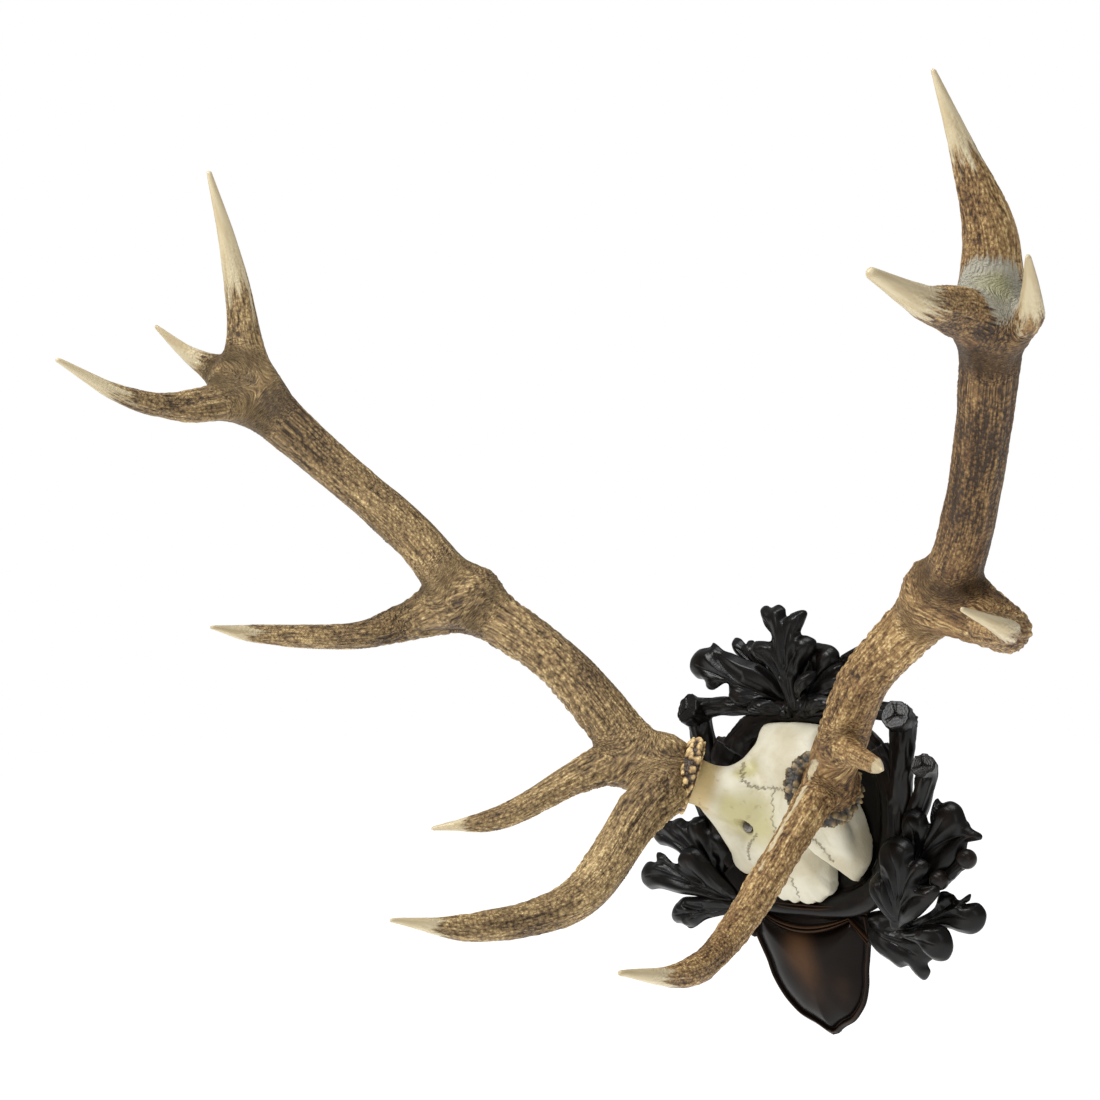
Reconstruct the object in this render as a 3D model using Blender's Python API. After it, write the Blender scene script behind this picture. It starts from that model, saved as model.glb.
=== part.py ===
"""Red deer trophy: twelve-point antlers on a cut skull cap, screwed to a carved oak-leaf plaque.

Metres, +Z up. The wall is the plane y = 0 and the trophy faces -Y, so a part that stands
forward by 50 mm is at y = -0.050. The plane x = 0 halves the skull and the plaque. The origin
is on the plaque's back, halfway between the burrs and a little below them.
"""
from math import cos, pi, sin

import bmesh
import bpy
import numpy as np

# Antlers
ANTLER_REACH = 0.586       # height from the middle of a burr to the tip of the top tine
BEAM_DIAMETER = 0.042
BURR_DIAMETER = 0.070
BURR_THICKNESS = 0.016
BURR_SPACING = 0.160       # between the middles of the two burrs
BURR_STANDOFF = 0.120      # from the wall to the middle of a burr
BURR_HEIGHT = 0.022
BURR_NUBS = 11
PEDICLE_DIAMETER = 0.038
ANTLER_SIDES = 11
TINE_SIDES = 8
RING_SPACING = 0.039       # between the rings of points along a beam or tine

# Skull cap
SKULL_WIDTH = 0.158        # across the rims of the eye sockets
SKULL_HEIGHT = 0.170
SKULL_MIDDLE_Z = -0.010
SKULL_STANDOFF = 0.097     # from the wall to the forehead

# Screws
SCREW_HEAD_DIAMETER = 0.0115
SCREW_HEAD_HEIGHT = 0.0035
SCREW_SHANK_DIAMETER = 0.0045
SCREW_LENGTH = 0.060
SCREW_SPACING = 0.068
SCREW_HEIGHT = -0.024
SCREW_RECESS = 0.0020

# Plaque
RIM_WIDTH = 0.220
RIM_HEIGHT = 0.194
RIM_MIDDLE_Z = -0.014
RIM_STANDOFF = 0.055       # from the wall to the crest of the rim
DISH_STANDOFF = 0.046      # from the wall to the floor of the dish, where the skull rests
RIM_SIDES = 32
RIM_SQUARENESS = 2.6       # 2 is an ellipse; more fills out the rim's corners
BARK_TURN = 1.26           # angle around the rim that one carved length of bark covers
BARK_END = 2.22            # angle up from the bottom to the thick end of a length of bark
BARK_SWELL = 0.007         # how far a length of bark thickens towards its end
ACORN_WIDTH = 0.132
ACORN_TIP_Z = -0.229
ACORN_UNDERCUT = 0.75      # width of its back, as a share of its width in front
ACORN_BACK = 0.004         # from the wall to the back of the acorn
ACORN_DOME = 0.013         # how far the middle of the acorn swells over its border
CUP_STANDOFF = 0.055       # from the wall to the moulded cup above the acorn
LEAF_THICKNESS = 0.010
LEAF_LENGTH = 0.112        # of the longest oak leaves
LEAF_HALF_WIDTH = 0.034
LEAF_WAIST = 0.58          # width between two lobes, as a share of the width across them
LEAF_SWEEP = 0.35          # how far the lobes sweep towards the tip
LOWER_LEAF_TIP = {-1: (0.080, 0.004, -0.040), 1: (0.060, 0.004, -0.076)}  # from the spray's root
LEAF_DROOP = 0.30          # how far the edges fall back, as a share of the half width
BRANCH_DIAMETER = 0.018
TRUNK_HEIGHT = 0.160       # from the root of the side spray to the cut end of its branch
GALL_DIAMETER = 0.019

GAP = 0.0003               # between pieces that touch

# An antler's branches. Points run from root to tip, and give the distance outwards, forwards
# and upwards from the middle of the burr, as shares of ANTLER_REACH. Widths are shares of
# BEAM_DIAMETER at the same points.
LEFT_WIDTHS = {
    "beam": (1.25, 1.20, 1.04, 1.10, 0.99, 0.98, 1.20),
    "top_tine": (1.14, 0.66, 0.40, 0.12),
    "small_tine": (1.05, 0.66, 0.36, 0.10),
    "front_tine": (1.05, 0.64, 0.44, 0.12),
    "trez_tine": (1.50, 0.86, 0.62, 0.42, 0.10),
    "bez_tine": (1.45, 0.80, 0.52, 0.10),
    "brow_tine": (1.30, 1.04, 0.84, 0.60, 0.10),
}
RIGHT_WIDTHS = {
    "beam": (1.20, 1.08, 1.02, 1.10, 1.04, 1.04, 1.16),
    "top_tine": (1.22, 1.04, 0.42, 0.12),
    "small_tine": (0.95, 0.56, 0.34, 0.12),
    "front_tine": (1.20, 0.84, 0.58, 0.22),
    "trez_tine": (1.50, 0.86, 0.62, 0.42, 0.10),
    "bez_tine": (1.10, 0.66, 0.50, 0.14),
    "brow_tine": (1.05, 0.86, 0.78, 0.58, 0.12),
}
LEFT_ANTLER = {
    "beam": ((0.001, -0.001, 0.002), (0.061, 0.044, 0.038), (0.176, 0.103, 0.188),
             (0.329, 0.153, 0.298), (0.409, 0.202, 0.406), (0.515, 0.305, 0.544),
             (0.601, 0.398, 0.665)),
    "top_tine": ((0.589, 0.385, 0.648), (0.589, 0.398, 0.787), (0.580, 0.430, 0.894),
                 (0.568, 0.475, 1.000)),
    "small_tine": ((0.584, 0.379, 0.643), (0.646, 0.404, 0.685), (0.681, 0.437, 0.717),
                   (0.706, 0.479, 0.760)),
    "front_tine": ((0.584, 0.379, 0.642), (0.613, 0.505, 0.626), (0.630, 0.614, 0.642),
                   (0.648, 0.733, 0.700)),
    "trez_tine": ((0.329, 0.153, 0.298), (0.446, 0.185, 0.261), (0.487, 0.265, 0.243),
                  (0.586, 0.381, 0.250), (0.591, 0.483, 0.267)),
    "bez_tine": ((0.031, 0.023, 0.019), (0.108, 0.095, 0.022), (0.222, 0.206, -0.051),
                 (0.307, 0.278, -0.067)),
    "brow_tine": ((0.012, 0.007, 0.009), (0.003, 0.122, -0.046), (0.017, 0.262, -0.163),
                  (0.065, 0.429, -0.189), (0.091, 0.593, -0.159)),
}
RIGHT_ANTLER = {
    "beam": ((-0.012, -0.009, -0.006), (0.067, 0.049, 0.070), (0.171, 0.115, 0.181),
             (0.326, 0.147, 0.304), (0.420, 0.218, 0.391), (0.515, 0.304, 0.541),
             (0.587, 0.386, 0.677)),
    "top_tine": ((0.587, 0.386, 0.676), (0.593, 0.397, 0.790), (0.580, 0.431, 0.895),
                 (0.567, 0.475, 1.000)),
    "small_tine": ((0.587, 0.385, 0.675), (0.650, 0.399, 0.675), (0.681, 0.437, 0.708),
                   (0.705, 0.478, 0.747)),
    "front_tine": ((0.586, 0.386, 0.673), (0.606, 0.506, 0.687), (0.637, 0.615, 0.692),
                   (0.646, 0.735, 0.723)),
    "trez_tine": ((0.327, 0.147, 0.303), (0.456, 0.170, 0.254), (0.485, 0.280, 0.266),
                  (0.586, 0.368, 0.265), (0.593, 0.485, 0.300)),
    "bez_tine": ((0.051, 0.036, 0.056), (0.128, 0.113, 0.067), (0.224, 0.184, 0.058),
                 (0.302, 0.269, 0.061)),
    "brow_tine": ((0.000, 0.002, 0.008), (0.031, 0.123, -0.060), (0.021, 0.270, -0.193),
                  (0.065, 0.431, -0.226), (0.087, 0.600, -0.199)),
}

# The skull cap's outline from the front, clockwise from the top: shares of half its width, of
# its height above its middle, and how far its edge stands off the wall as a share of the
# forehead's. The broken lower edge is not the same on both sides.
SKULL_OUTLINE = (
    (0.00, 0.482, 0.66), (0.22, 0.480, 0.66), (0.42, 0.465, 0.66), (0.48, 0.400, 0.68),
    (0.56, 0.290, 0.70), (0.66, 0.170, 0.70), (0.82, 0.060, 0.69), (0.93, -0.030, 0.68),
    (0.99, -0.110, 0.66), (1.02, -0.215, 0.64), (0.99, -0.300, 0.64), (0.82, -0.380, 0.63),
    (0.69, -0.335, 0.63), (0.58, -0.352, 0.62), (0.50, -0.455, 0.62), (0.27, -0.515, 0.63),
    (0.00, -0.520, 0.63), (-0.24, -0.512, 0.63), (-0.50, -0.475, 0.63), (-0.62, -0.400, 0.63),
    (-0.80, -0.392, 0.62), (-0.99, -0.310, 0.64), (-1.02, -0.215, 0.64), (-0.99, -0.110, 0.66),
    (-0.93, -0.030, 0.68), (-0.82, 0.060, 0.69), (-0.66, 0.170, 0.70), (-0.56, 0.290, 0.70),
    (-0.48, 0.400, 0.68), (-0.42, 0.465, 0.66), (-0.22, 0.480, 0.66),
)

# The rim's section from its back to the dish: distance in from the rim's outline and off the wall,
# as shares of the rim's standoff.
RIM_SECTION = (
    (0.72, 0.00), (0.38, 0.35), (0.10, 0.66), (0.00, 0.86), (0.07, 1.00), (0.21, 1.01),
    (0.38, 0.92), (0.52, 0.80),
)

# Half the acorn's width down its height, as shares of half of ACORN_WIDTH, with how far the
# border stands off the wall as a share of CUP_STANDOFF.
ACORN_OUTLINE = (
    (0.00, 0.94, 0.88), (0.16, 1.00, 0.84), (0.30, 0.98, 0.76), (0.45, 0.94, 0.68),
    (0.60, 0.85, 0.60), (0.74, 0.71, 0.51), (0.84, 0.55, 0.44), (0.91, 0.36, 0.37),
    (0.95, 0.20, 0.33),
)


def catmull_rom(points, count):
    """A smooth curve of count points through the given points."""
    given = np.asarray(points, dtype=float)
    ends = np.vstack([2 * given[0] - given[1], given, 2 * given[-1] - given[-2]])
    where = np.linspace(0, len(given) - 1, count)
    piece = np.minimum(where.astype(int), len(given) - 2)
    t = (where - piece)[:, None]
    a, b, c, d = ends[piece], ends[piece + 1], ends[piece + 2], ends[piece + 3]
    return 0.5 * (2 * b + (c - a) * t + (2 * a - 5 * b + 4 * c - d) * t**2
                  + (3 * b - a - 3 * c + d) * t**3)


def unit(vector):
    """The vector at length one."""
    return np.asarray(vector, dtype=float) / np.linalg.norm(vector)


def loft(name, rings, first=None, last=None):
    """A closed mesh object through rings of equal length; an end is a point or a flat face."""
    rings = [np.asarray(ring, dtype=float) for ring in rings]
    around = len(rings[0])
    mesh = bpy.data.meshes.new(name)
    made = bmesh.new()
    rows = [[made.verts.new(point) for point in ring] for ring in rings]
    for low, high in zip(rows, rows[1:]):
        for i in range(around):
            j = (i + 1) % around
            made.faces.new((low[i], low[j], high[j], high[i]))
    for row, tip in ((rows[0], first), (rows[-1], last)):
        if tip is None:
            made.faces.new(row)
            continue
        point = made.verts.new(tip)
        for i in range(around):
            made.faces.new((row[i], row[(i + 1) % around], point))
    bmesh.ops.recalc_face_normals(made, faces=made.faces)
    made.to_mesh(mesh)
    made.free()
    mesh.shade_smooth()
    piece = bpy.data.objects.new(name, mesh)
    bpy.context.collection.objects.link(piece)
    return piece


def tube(name, path, radii, sides, rounded_tip=True):
    """A tapered tube along a path; its frame turns with the path without twisting."""
    path = np.asarray(path, dtype=float)
    radii = np.broadcast_to(radii, len(path))
    tangents = np.gradient(path, axis=0)
    tangents /= np.linalg.norm(tangents, axis=1)[:, None]
    start = (0, 0, 1) if abs(tangents[0][2]) < 0.9 else (1, 0, 0)
    side = unit(np.cross(tangents[0], start))
    angles = np.linspace(0, 2 * pi, sides, endpoint=False)
    rings = []
    for point, tangent, radius in zip(path, tangents, radii):
        side = unit(side - tangent * np.dot(side, tangent))
        other = np.cross(tangent, side)
        rings.append(point + radius * (np.outer(np.cos(angles), side)
                                       + np.outer(np.sin(angles), other)))
    tip = path[-1] + tangents[-1] * radii[-1] * 0.8 if rounded_tip else None
    return loft(name, rings, last=tip)


def turned(name, middle, axis, section, sides, ripple=0.0, ripples=0):
    """A turned solid: section gives distance along the axis and radius, ripple is a share."""
    axis = unit(axis)
    side = unit(np.cross(axis, (0, 0, 1) if abs(axis[2]) < 0.9 else (1, 0, 0)))
    other = np.cross(axis, side)
    angles = np.linspace(0, 2 * pi, sides, endpoint=False)
    swell = 1 + ripple * np.cos(ripples * angles)
    rings = [
        np.asarray(middle) + along * axis
        + (radius * swell)[:, None] * (np.outer(np.cos(angles), side)
                                       + np.outer(np.sin(angles), other))
        for along, radius in section
    ]
    return loft(name, rings)


def ball(name, middle, radius, sides=8, rows=4):
    """A round boss, such as an oak gall or the cupped end of a lobe."""
    turns = np.linspace(0, pi, rows + 2)[1:-1]
    section = [(-radius * cos(t), radius * sin(t)) for t in turns]
    return turned(name, middle, (0, -1, 0), section, sides)


def combine(name, material, pieces, operation="UNION"):
    """Join pieces to the first one, or cut them from it, and name the result."""
    body, others = pieces[0], pieces[1:]
    group = bpy.data.collections.new(f"{name}_{operation.lower()}")
    bpy.context.scene.collection.children.link(group)
    for other in others:
        bpy.context.collection.objects.unlink(other)
        group.objects.link(other)
        other.hide_render = True
        other.display_type = "WIRE"
    boolean = body.modifiers.new(operation.title(), "BOOLEAN")
    boolean.operation = operation
    boolean.operand_type = "COLLECTION"
    boolean.collection = group
    boolean.solver = "EXACT"
    body.name = name
    body.data.name = name
    if not body.data.materials:
        body.data.materials.append(material)
    return body


def material(name, colour, roughness, metallic=0.0):
    """A plain Principled material."""
    made = bpy.data.materials.new(name)
    made.use_nodes = True
    shader = made.node_tree.nodes["Principled BSDF"]
    shader.inputs["Base Color"].default_value = (*colour, 1)
    shader.inputs["Roughness"].default_value = roughness
    shader.inputs["Metallic"].default_value = metallic
    made.diffuse_color = (*colour, 1)
    return made


def rim_point(angle, inset, standoff):
    """A point on the rim, from its angle, its distance in from the outline and off the wall."""
    power = 2 / RIM_SQUARENESS
    across = (RIM_WIDTH / 2 - inset) * abs(cos(angle)) ** power * np.sign(cos(angle))
    up = (RIM_HEIGHT / 2 - inset) * abs(sin(angle)) ** power * np.sign(sin(angle))
    return np.array([across, -standoff, RIM_MIDDLE_Z + up])


def bark_step(angle):
    """From 0 at the root of a length of bark to 1 at its thick end, up both sides of the rim."""
    from_bottom = abs((angle + pi / 2 + pi) % (2 * pi) - pi)
    return (from_bottom - BARK_END) / BARK_TURN % 1.0


def dish_standoff(x, z):
    """How far the dish and rim stand off the wall at x, z, with the rim's outside left full."""
    across, up = abs(x) / (RIM_WIDTH / 2), abs(z - RIM_MIDDLE_Z) / (RIM_HEIGHT / 2)
    reach = (across**RIM_SQUARENESS + up**RIM_SQUARENESS) ** (1 / RIM_SQUARENESS)
    inset = (1 - reach) * RIM_HEIGHT / 2
    at = [RIM_STANDOFF * share for share, _ in RIM_SECTION[4:]]
    high = [RIM_STANDOFF * share for _, share in RIM_SECTION[4:]]
    return float(np.interp(inset, at + [at[-1] + 0.001], high + [DISH_STANDOFF]))


def burr_middle(side):
    """The middle of the burr on one side: -1 is left, 1 is right."""
    return np.array([side * BURR_SPACING / 2, -BURR_STANDOFF, BURR_HEIGHT])


def antler(side, branches, widths):
    """Beam, tines and burr of one antler, as separate closed pieces that overlap."""
    middle = burr_middle(side)
    turn = np.array([side, -1, 1])
    pieces = []
    for name, shares in branches.items():
        points = middle + np.asarray(shares) * ANTLER_REACH * turn
        length = np.linalg.norm(np.diff(points, axis=0), axis=1).sum()
        count = max(6, int(round(length / RING_SPACING)))
        path = catmull_rom(points, count)
        wide = catmull_rom(np.reshape(widths[name], (-1, 1)), count)[:, 0]
        radii = np.maximum(wide, 0.08) * BEAM_DIAMETER / 2
        sides = ANTLER_SIDES if name == "beam" else TINE_SIDES
        pieces.append(tube(f"{name}_{side}", path, radii, sides))
    root = middle + np.asarray(branches["beam"][0]) * ANTLER_REACH * turn
    half = BURR_THICKNESS / 2
    ring = BURR_DIAMETER / 2
    section = [(-half, ring * 0.62), (-half * 0.9, ring * 0.86), (-half * 0.2, ring),
               (half * 0.5, ring * 0.92), (half, ring * 0.66)]
    pieces.append(turned(f"burr_{side}", root, burr_axis(side), section, 2 * BURR_NUBS, 0.05, BURR_NUBS))
    return pieces


def burr_axis(side):
    """The direction in which an antler leaves its burr."""
    return unit((side * 0.70, -0.62, 0.34))


def skull_point(share, edge):
    """A point of the skull's front: share 0 is its middle and 1 is the outline point given."""
    x, z, standoff = edge
    upness = (z / 0.5 + 1) / 2
    power = 1.9 + 0.7 * upness
    fullness = 1.0 - 0.2 * upness
    rise = max(0.0, 1 - share**power) ** fullness
    depth = SKULL_STANDOFF * (standoff + (1 - standoff) * rise)
    return np.array([share * x * SKULL_WIDTH / 2, -depth,
                     SKULL_MIDDLE_Z + share * z * SKULL_HEIGHT])


def skull_plate():
    """The forehead and braincase, a low dome over the dish."""
    shares = (0.30, 0.55, 0.75, 0.90, 1.0)
    front = [[skull_point(share, edge) for edge in SKULL_OUTLINE] for share in shares]
    back = []
    for share in (1.0, 0.62):
        ring = []
        for edge in SKULL_OUTLINE:
            x, _, z = skull_point(share, edge)
            ring.append((x, -dish_standoff(x, z) - (GAP if share < 1 else 4 * GAP), z))
        back.append(ring)
    first = (0, -SKULL_STANDOFF, SKULL_MIDDLE_Z)
    last = (0, -DISH_STANDOFF - GAP, SKULL_MIDDLE_Z)
    return loft("skull_plate", front + back, first, last)


def pedicle(side, lean):
    """The bone stalk from the forehead to the burr, and the ridge down to the eye socket."""
    burr = burr_middle(side) + np.asarray(lean) * ANTLER_REACH * (side, -1, 1)
    half = SKULL_WIDTH / 2
    root = np.array([side * half * 0.30, -SKULL_STANDOFF * 0.76, BURR_HEIGHT - 0.026])
    waist = burr - burr_axis(side) * 0.022
    path = catmull_rom([root, (root * 0.45 + waist * 0.55), waist, burr], 6)
    wide = PEDICLE_DIAMETER / 2
    stalk = tube(f"pedicle_{side}", path, (wide * 1.5, wide * 1.5, wide * 1.25, wide * 1.05,
                                           wide * 0.98, wide), ANTLER_SIDES, False)
    ridge_path = catmull_rom([
        (side * half * 0.70, -SKULL_STANDOFF * 0.95, BURR_HEIGHT - 0.030),
        (side * half * 0.88, -SKULL_STANDOFF * 0.80, SKULL_MIDDLE_Z - 0.026),
        (side * half * 0.95, -SKULL_STANDOFF * 0.66, SKULL_MIDDLE_Z - 0.048),
    ], 5)
    ridge = tube(f"ridge_{side}", ridge_path, (0.014, 0.012, 0.009, 0.007, 0.006), 8)
    return [stalk, ridge]


def screw_section(head, shank, clearance):
    """A screw's section along its axis, from the end of the shank to the top of the head."""
    return [
        (-SCREW_LENGTH - clearance, shank + clearance), (-clearance, shank + clearance),
        (-clearance, head + clearance), (SCREW_HEAD_HEIGHT * 0.35, head + clearance),
    ]


def screw_seat(side):
    """Where the underside of a screw's head rests, a little below the bone's surface."""
    return np.array([side * SCREW_SPACING / 2, -SKULL_STANDOFF * 0.945 + SCREW_RECESS,
                     SCREW_HEIGHT])


def screw(side):
    """A round-head steel screw through the skull cap into the plaque."""
    head = SCREW_HEAD_DIAMETER / 2
    section = screw_section(head, SCREW_SHANK_DIAMETER / 2, 0.0)
    section += [(SCREW_HEAD_HEIGHT * 0.8, head * 0.72), (SCREW_HEAD_HEIGHT, head * 0.35)]
    name = "skull_screw_left" if side < 0 else "skull_screw_right"
    return turned(name, screw_seat(side), (0, -1, 0), section, 12)


def screw_hole(side, name):
    """The hole that a screw passes through, with room for its head."""
    section = screw_section(SCREW_HEAD_DIAMETER / 2, SCREW_SHANK_DIAMETER / 2, GAP)
    section.append((SCREW_HEAD_HEIGHT * 8, SCREW_HEAD_DIAMETER / 2 + GAP * 4))
    return turned(name, screw_seat(side), (0, -1, 0), section, 12)


def dish():
    """The round board: a dish with a rim of overlapping bark lengths, undercut to the wall."""
    angles = np.linspace(-pi / 2, 3 * pi / 2, RIM_SIDES, endpoint=False)
    rings = []
    for inset, standoff in RIM_SECTION:
        outside = standoff > 0.2 and inset < 0.3
        swell = [BARK_SWELL * bark_step(angle) if outside else 0.0 for angle in angles]
        rings.append([rim_point(angle, inset * RIM_STANDOFF - out,
                                standoff * RIM_STANDOFF + out * 0.3)
                      for angle, out in zip(angles, swell)])
    inset = RIM_SECTION[-1][0] * RIM_STANDOFF + 0.001
    rings.append([rim_point(angle, inset, DISH_STANDOFF) for angle in angles])
    return loft("dish", rings)


def acorn():
    """The hanging acorn: a domed shield with a raised border, from the cup to its point."""
    top = RIM_MIDDLE_Z - RIM_HEIGHT / 2 + 0.004
    across = np.array([-1, -0.93, -0.84, -0.62, -0.32, 0, 0.32, 0.62, 0.84, 0.93, 1])
    rings = []
    for down, wide, standoff in ACORN_OUTLINE:
        z = top + (ACORN_TIP_Z - top) * down
        half = wide * ACORN_WIDTH / 2
        border = np.array([0.0, 0.0030, 0, 0, 0, 0, 0, 0, 0, 0.0030, 0.0])
        dome = ACORN_DOME * np.clip(1 - (across / 0.88) ** 2, 0, 1) ** 0.7
        dome *= sin(pi * (0.12 + 0.86 * min(down, 0.98))) ** 0.6
        front = standoff * CUP_STANDOFF + border + dome
        face = np.c_[across * half, -front, np.full(len(across), z)]
        under = half * ACORN_UNDERCUT
        back = [(under, -ACORN_BACK, z), (-under, -ACORN_BACK, z)]
        rings.append(np.vstack([face, back]))
    tip = (0, -0.014, ACORN_TIP_Z)
    return loft("acorn", rings, last=tip)


def cup_edge(x):
    """How far the cup's lower edge hangs below the rim at x: a sag between two cusps."""
    cusp = ACORN_WIDTH * 0.37
    if abs(x) < cusp:
        return 0.016 - 0.014 * (x / cusp) ** 2
    return 0.002 + 0.024 * (abs(x) - cusp) / (ACORN_WIDTH / 2 - cusp)


def cup():
    """The moulded cup of the acorn: a stepped ledge that sags between two cusps."""
    low = RIM_MIDDLE_Z - RIM_HEIGHT / 2
    half = ACORN_WIDTH / 2
    rings = []
    for share in np.linspace(-1.0, 1.0, 17):
        x = share * half
        edge = low - cup_edge(x)
        curve = 0.010 * (1 - share**2) - 0.010
        out = CUP_STANDOFF + curve
        rings.append([
            (x, -0.010, low + 0.016), (x, -out + 0.004, low + 0.016), (x, -out, low + 0.004),
            (x, -out + 0.005, (low + edge) / 2), (x, -out + 0.001, edge + 0.005),
            (x, -out + 0.004, edge), (x, -0.010, edge + 0.004),
        ])
    return loft("cup", rings)


def leaf(name, root, tip, half_width, lobes=2.5, facing=(0, -1, 0), bow=0.10, bend=0.0):
    """A carved oak leaf: rounded lobes either side of a sunk midrib.

    It bows out of its own plane along its length, and bend curves its midrib within the plane.
    """
    root = np.asarray(root, dtype=float)
    run = np.asarray(tip, dtype=float) - root
    length = np.linalg.norm(run)
    along = run / length
    out = unit(np.asarray(facing) - along * np.dot(facing, along))
    side = np.cross(along, out)
    rings = []
    for t in np.linspace(0.04, 0.985, int(4 * lobes) + 1):
        swell = abs(sin(pi * lobes * t)) ** 0.8
        envelope = min(1.0, (t / 0.5) ** 0.7) * (1 - 0.40 * max(0.0, t - 0.6) / 0.4)
        wide = half_width * envelope * (LEAF_WAIST + (1 - LEAF_WAIST) * swell)
        wide *= min(1, (1.01 - t) * 9) ** 0.5
        middle = root + run * t + (out * bow + side * bend) * length * sin(pi * t)
        pillow = LEAF_THICKNESS * 0.55 * (0.4 + swell)
        ring = []
        for u in (-1.0, -0.62, 0.0, 0.62, 1.0):
            lift = pillow * (1 - u * u) - (LEAF_THICKNESS * 0.45 if u == 0 else 0)
            fall = LEAF_DROOP * wide * u * u
            ring.append(middle + side * wide * u + out * (lift - fall)
                        + along * wide * LEAF_SWEEP * abs(u))
        for u in (0.5, -0.5):
            under = LEAF_THICKNESS * (0.55 + 0.25 * (1 - abs(u)))
            ring.append(middle + side * wide * u - out * (under + LEAF_DROOP * wide * u * u)
                        + along * wide * LEAF_SWEEP * abs(u))
        rings.append(ring)
    return loft(name, rings, np.mean(rings[0], axis=0) - along * 0.002, middle + along * 0.004)


def top_spray():
    """A forked leaf between two bent ones over the top of the rim, small leaves and a bud."""
    root = rim_point(pi / 2, 0.009, RIM_STANDOFF + 0.004)
    reach = LEAF_LENGTH
    wide = LEAF_HALF_WIDTH
    fork = root + (0, -0.012, reach * 0.62)
    pieces = [
        leaf("top_leaf", root + (0, 0.002, 0.001), root + (0, -0.014, reach * 0.76), wide * 0.95, 2,
             facing=(0, -1, 0.1), bow=0.10),
        tube("bud", [root + (0.002, -0.004, 0.016), root + (0.014, -0.008, 0.036),
                     root + (0.020, -0.010, 0.044)], (0.004, 0.0055, 0.004), 8),
    ]
    for side in (-1, 1):
        pieces += [
            leaf(f"top_fork_{side}", fork + (side * 0.0015, 0, 0), root + (side * 0.022, -0.019, reach * 0.97),
                 wide * 0.40, 1.5, bow=0.05),
            leaf(f"top_side_leaf_{side}", root + (side * 0.004, 0.004, -0.002),
                 root + (side * reach, -0.014, 0.053), wide * 0.95, 2.5,
                 facing=(0, -1, 0.15), bow=0.08, bend=0.16 * -side),
            leaf(f"top_low_leaf_{side}", root + (side * 0.006, 0.004, 0),
                 root + (side * 0.062, -0.004, 0.026), wide * 0.42, 2, facing=(0, -1, 0.3)),
        ]
    return pieces


def side_spray(side):
    """Leaves, galls and two cut branches that grow from the lower side of the rim."""
    hub = rim_point(-0.66, 0.010, 0.044)
    turn = np.array([side, 1, 1])

    def at(x, y, z):
        return (hub + (x, -y, z)) * turn

    wide = LEAF_HALF_WIDTH
    thick = BRANCH_DIAMETER / 2
    trunk_top = TRUNK_HEIGHT
    pieces = [
        leaf(f"upper_leaf_{side}", at(0.004, 0.004, 0.002), at(0.101, 0.006, 0.062), wide, 2.5),
        leaf(f"middle_leaf_{side}", at(0.004, 0.004, -0.016), at(0.115, 0.004, -0.019),
             wide * 0.92, 2.5),
        leaf(f"lower_leaf_{side}", at(-0.004, 0.002, -0.026), at(*LOWER_LEAF_TIP[side]),
             wide * 0.84, 2.5, bow=0.08),
        leaf(f"front_leaf_{side}", at(0.004, 0.004, -0.040), at(0.043, 0.025, 0.046), wide, 2.5,
             facing=(0.15 * side, -1, 0)),
        ball(f"gall_high_{side}", at(0.103, 0.012, 0.028), GALL_DIAMETER / 2),
        ball(f"gall_low_{side}", at(0.078, 0.018, 0.006), GALL_DIAMETER / 2),
        tube(f"gall_stem_{side}", [at(0.040, 0.004, -0.006), at(0.078, 0.014, 0.006),
                                   at(0.103, 0.010, 0.028)], GALL_DIAMETER * 0.28, 6),
    ]
    trunk = catmull_rom([at(0.012, -0.004, 0.004), at(0.026, 0.004, trunk_top * 0.5),
                         at(0.038, 0.010, trunk_top - 0.006)], 5)
    pieces.append(tube(f"trunk_{side}", trunk, np.linspace(1.0, 1.2, 5) * thick, 8, False))
    stub = [at(0.034, 0.006, trunk_top - 0.014), at(0.040, 0.022, trunk_top - 0.002)]
    pieces.append(tube(f"cut_end_{side}", stub, (thick * 1.35, thick * 1.5), 10, False))
    fork = catmull_rom([at(0.024, 0.000, 0.030), at(0.050, 0.006, trunk_top * 0.48),
                        at(0.068, 0.018, trunk_top * 0.71)], 5)
    pieces.append(tube(f"fork_{side}", fork, np.array([1, 0.9, 0.85, 1, 1.15]) * thick, 8, False))
    crown = rim_point(pi / 2, 0.010, RIM_STANDOFF) + (side * 0.004, 0, 0.010)
    elbow = trunk[-1] + (0, 0, 0.002)
    arm = catmull_rom([crown, (crown + elbow) / 2 + (0, 0, 0.003), elbow], 5)
    pieces.append(tube(f"arm_{side}", arm, np.array([0.8, 0.75, 0.75, 0.85, 1.05]) * thick, 8))
    return pieces


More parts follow.
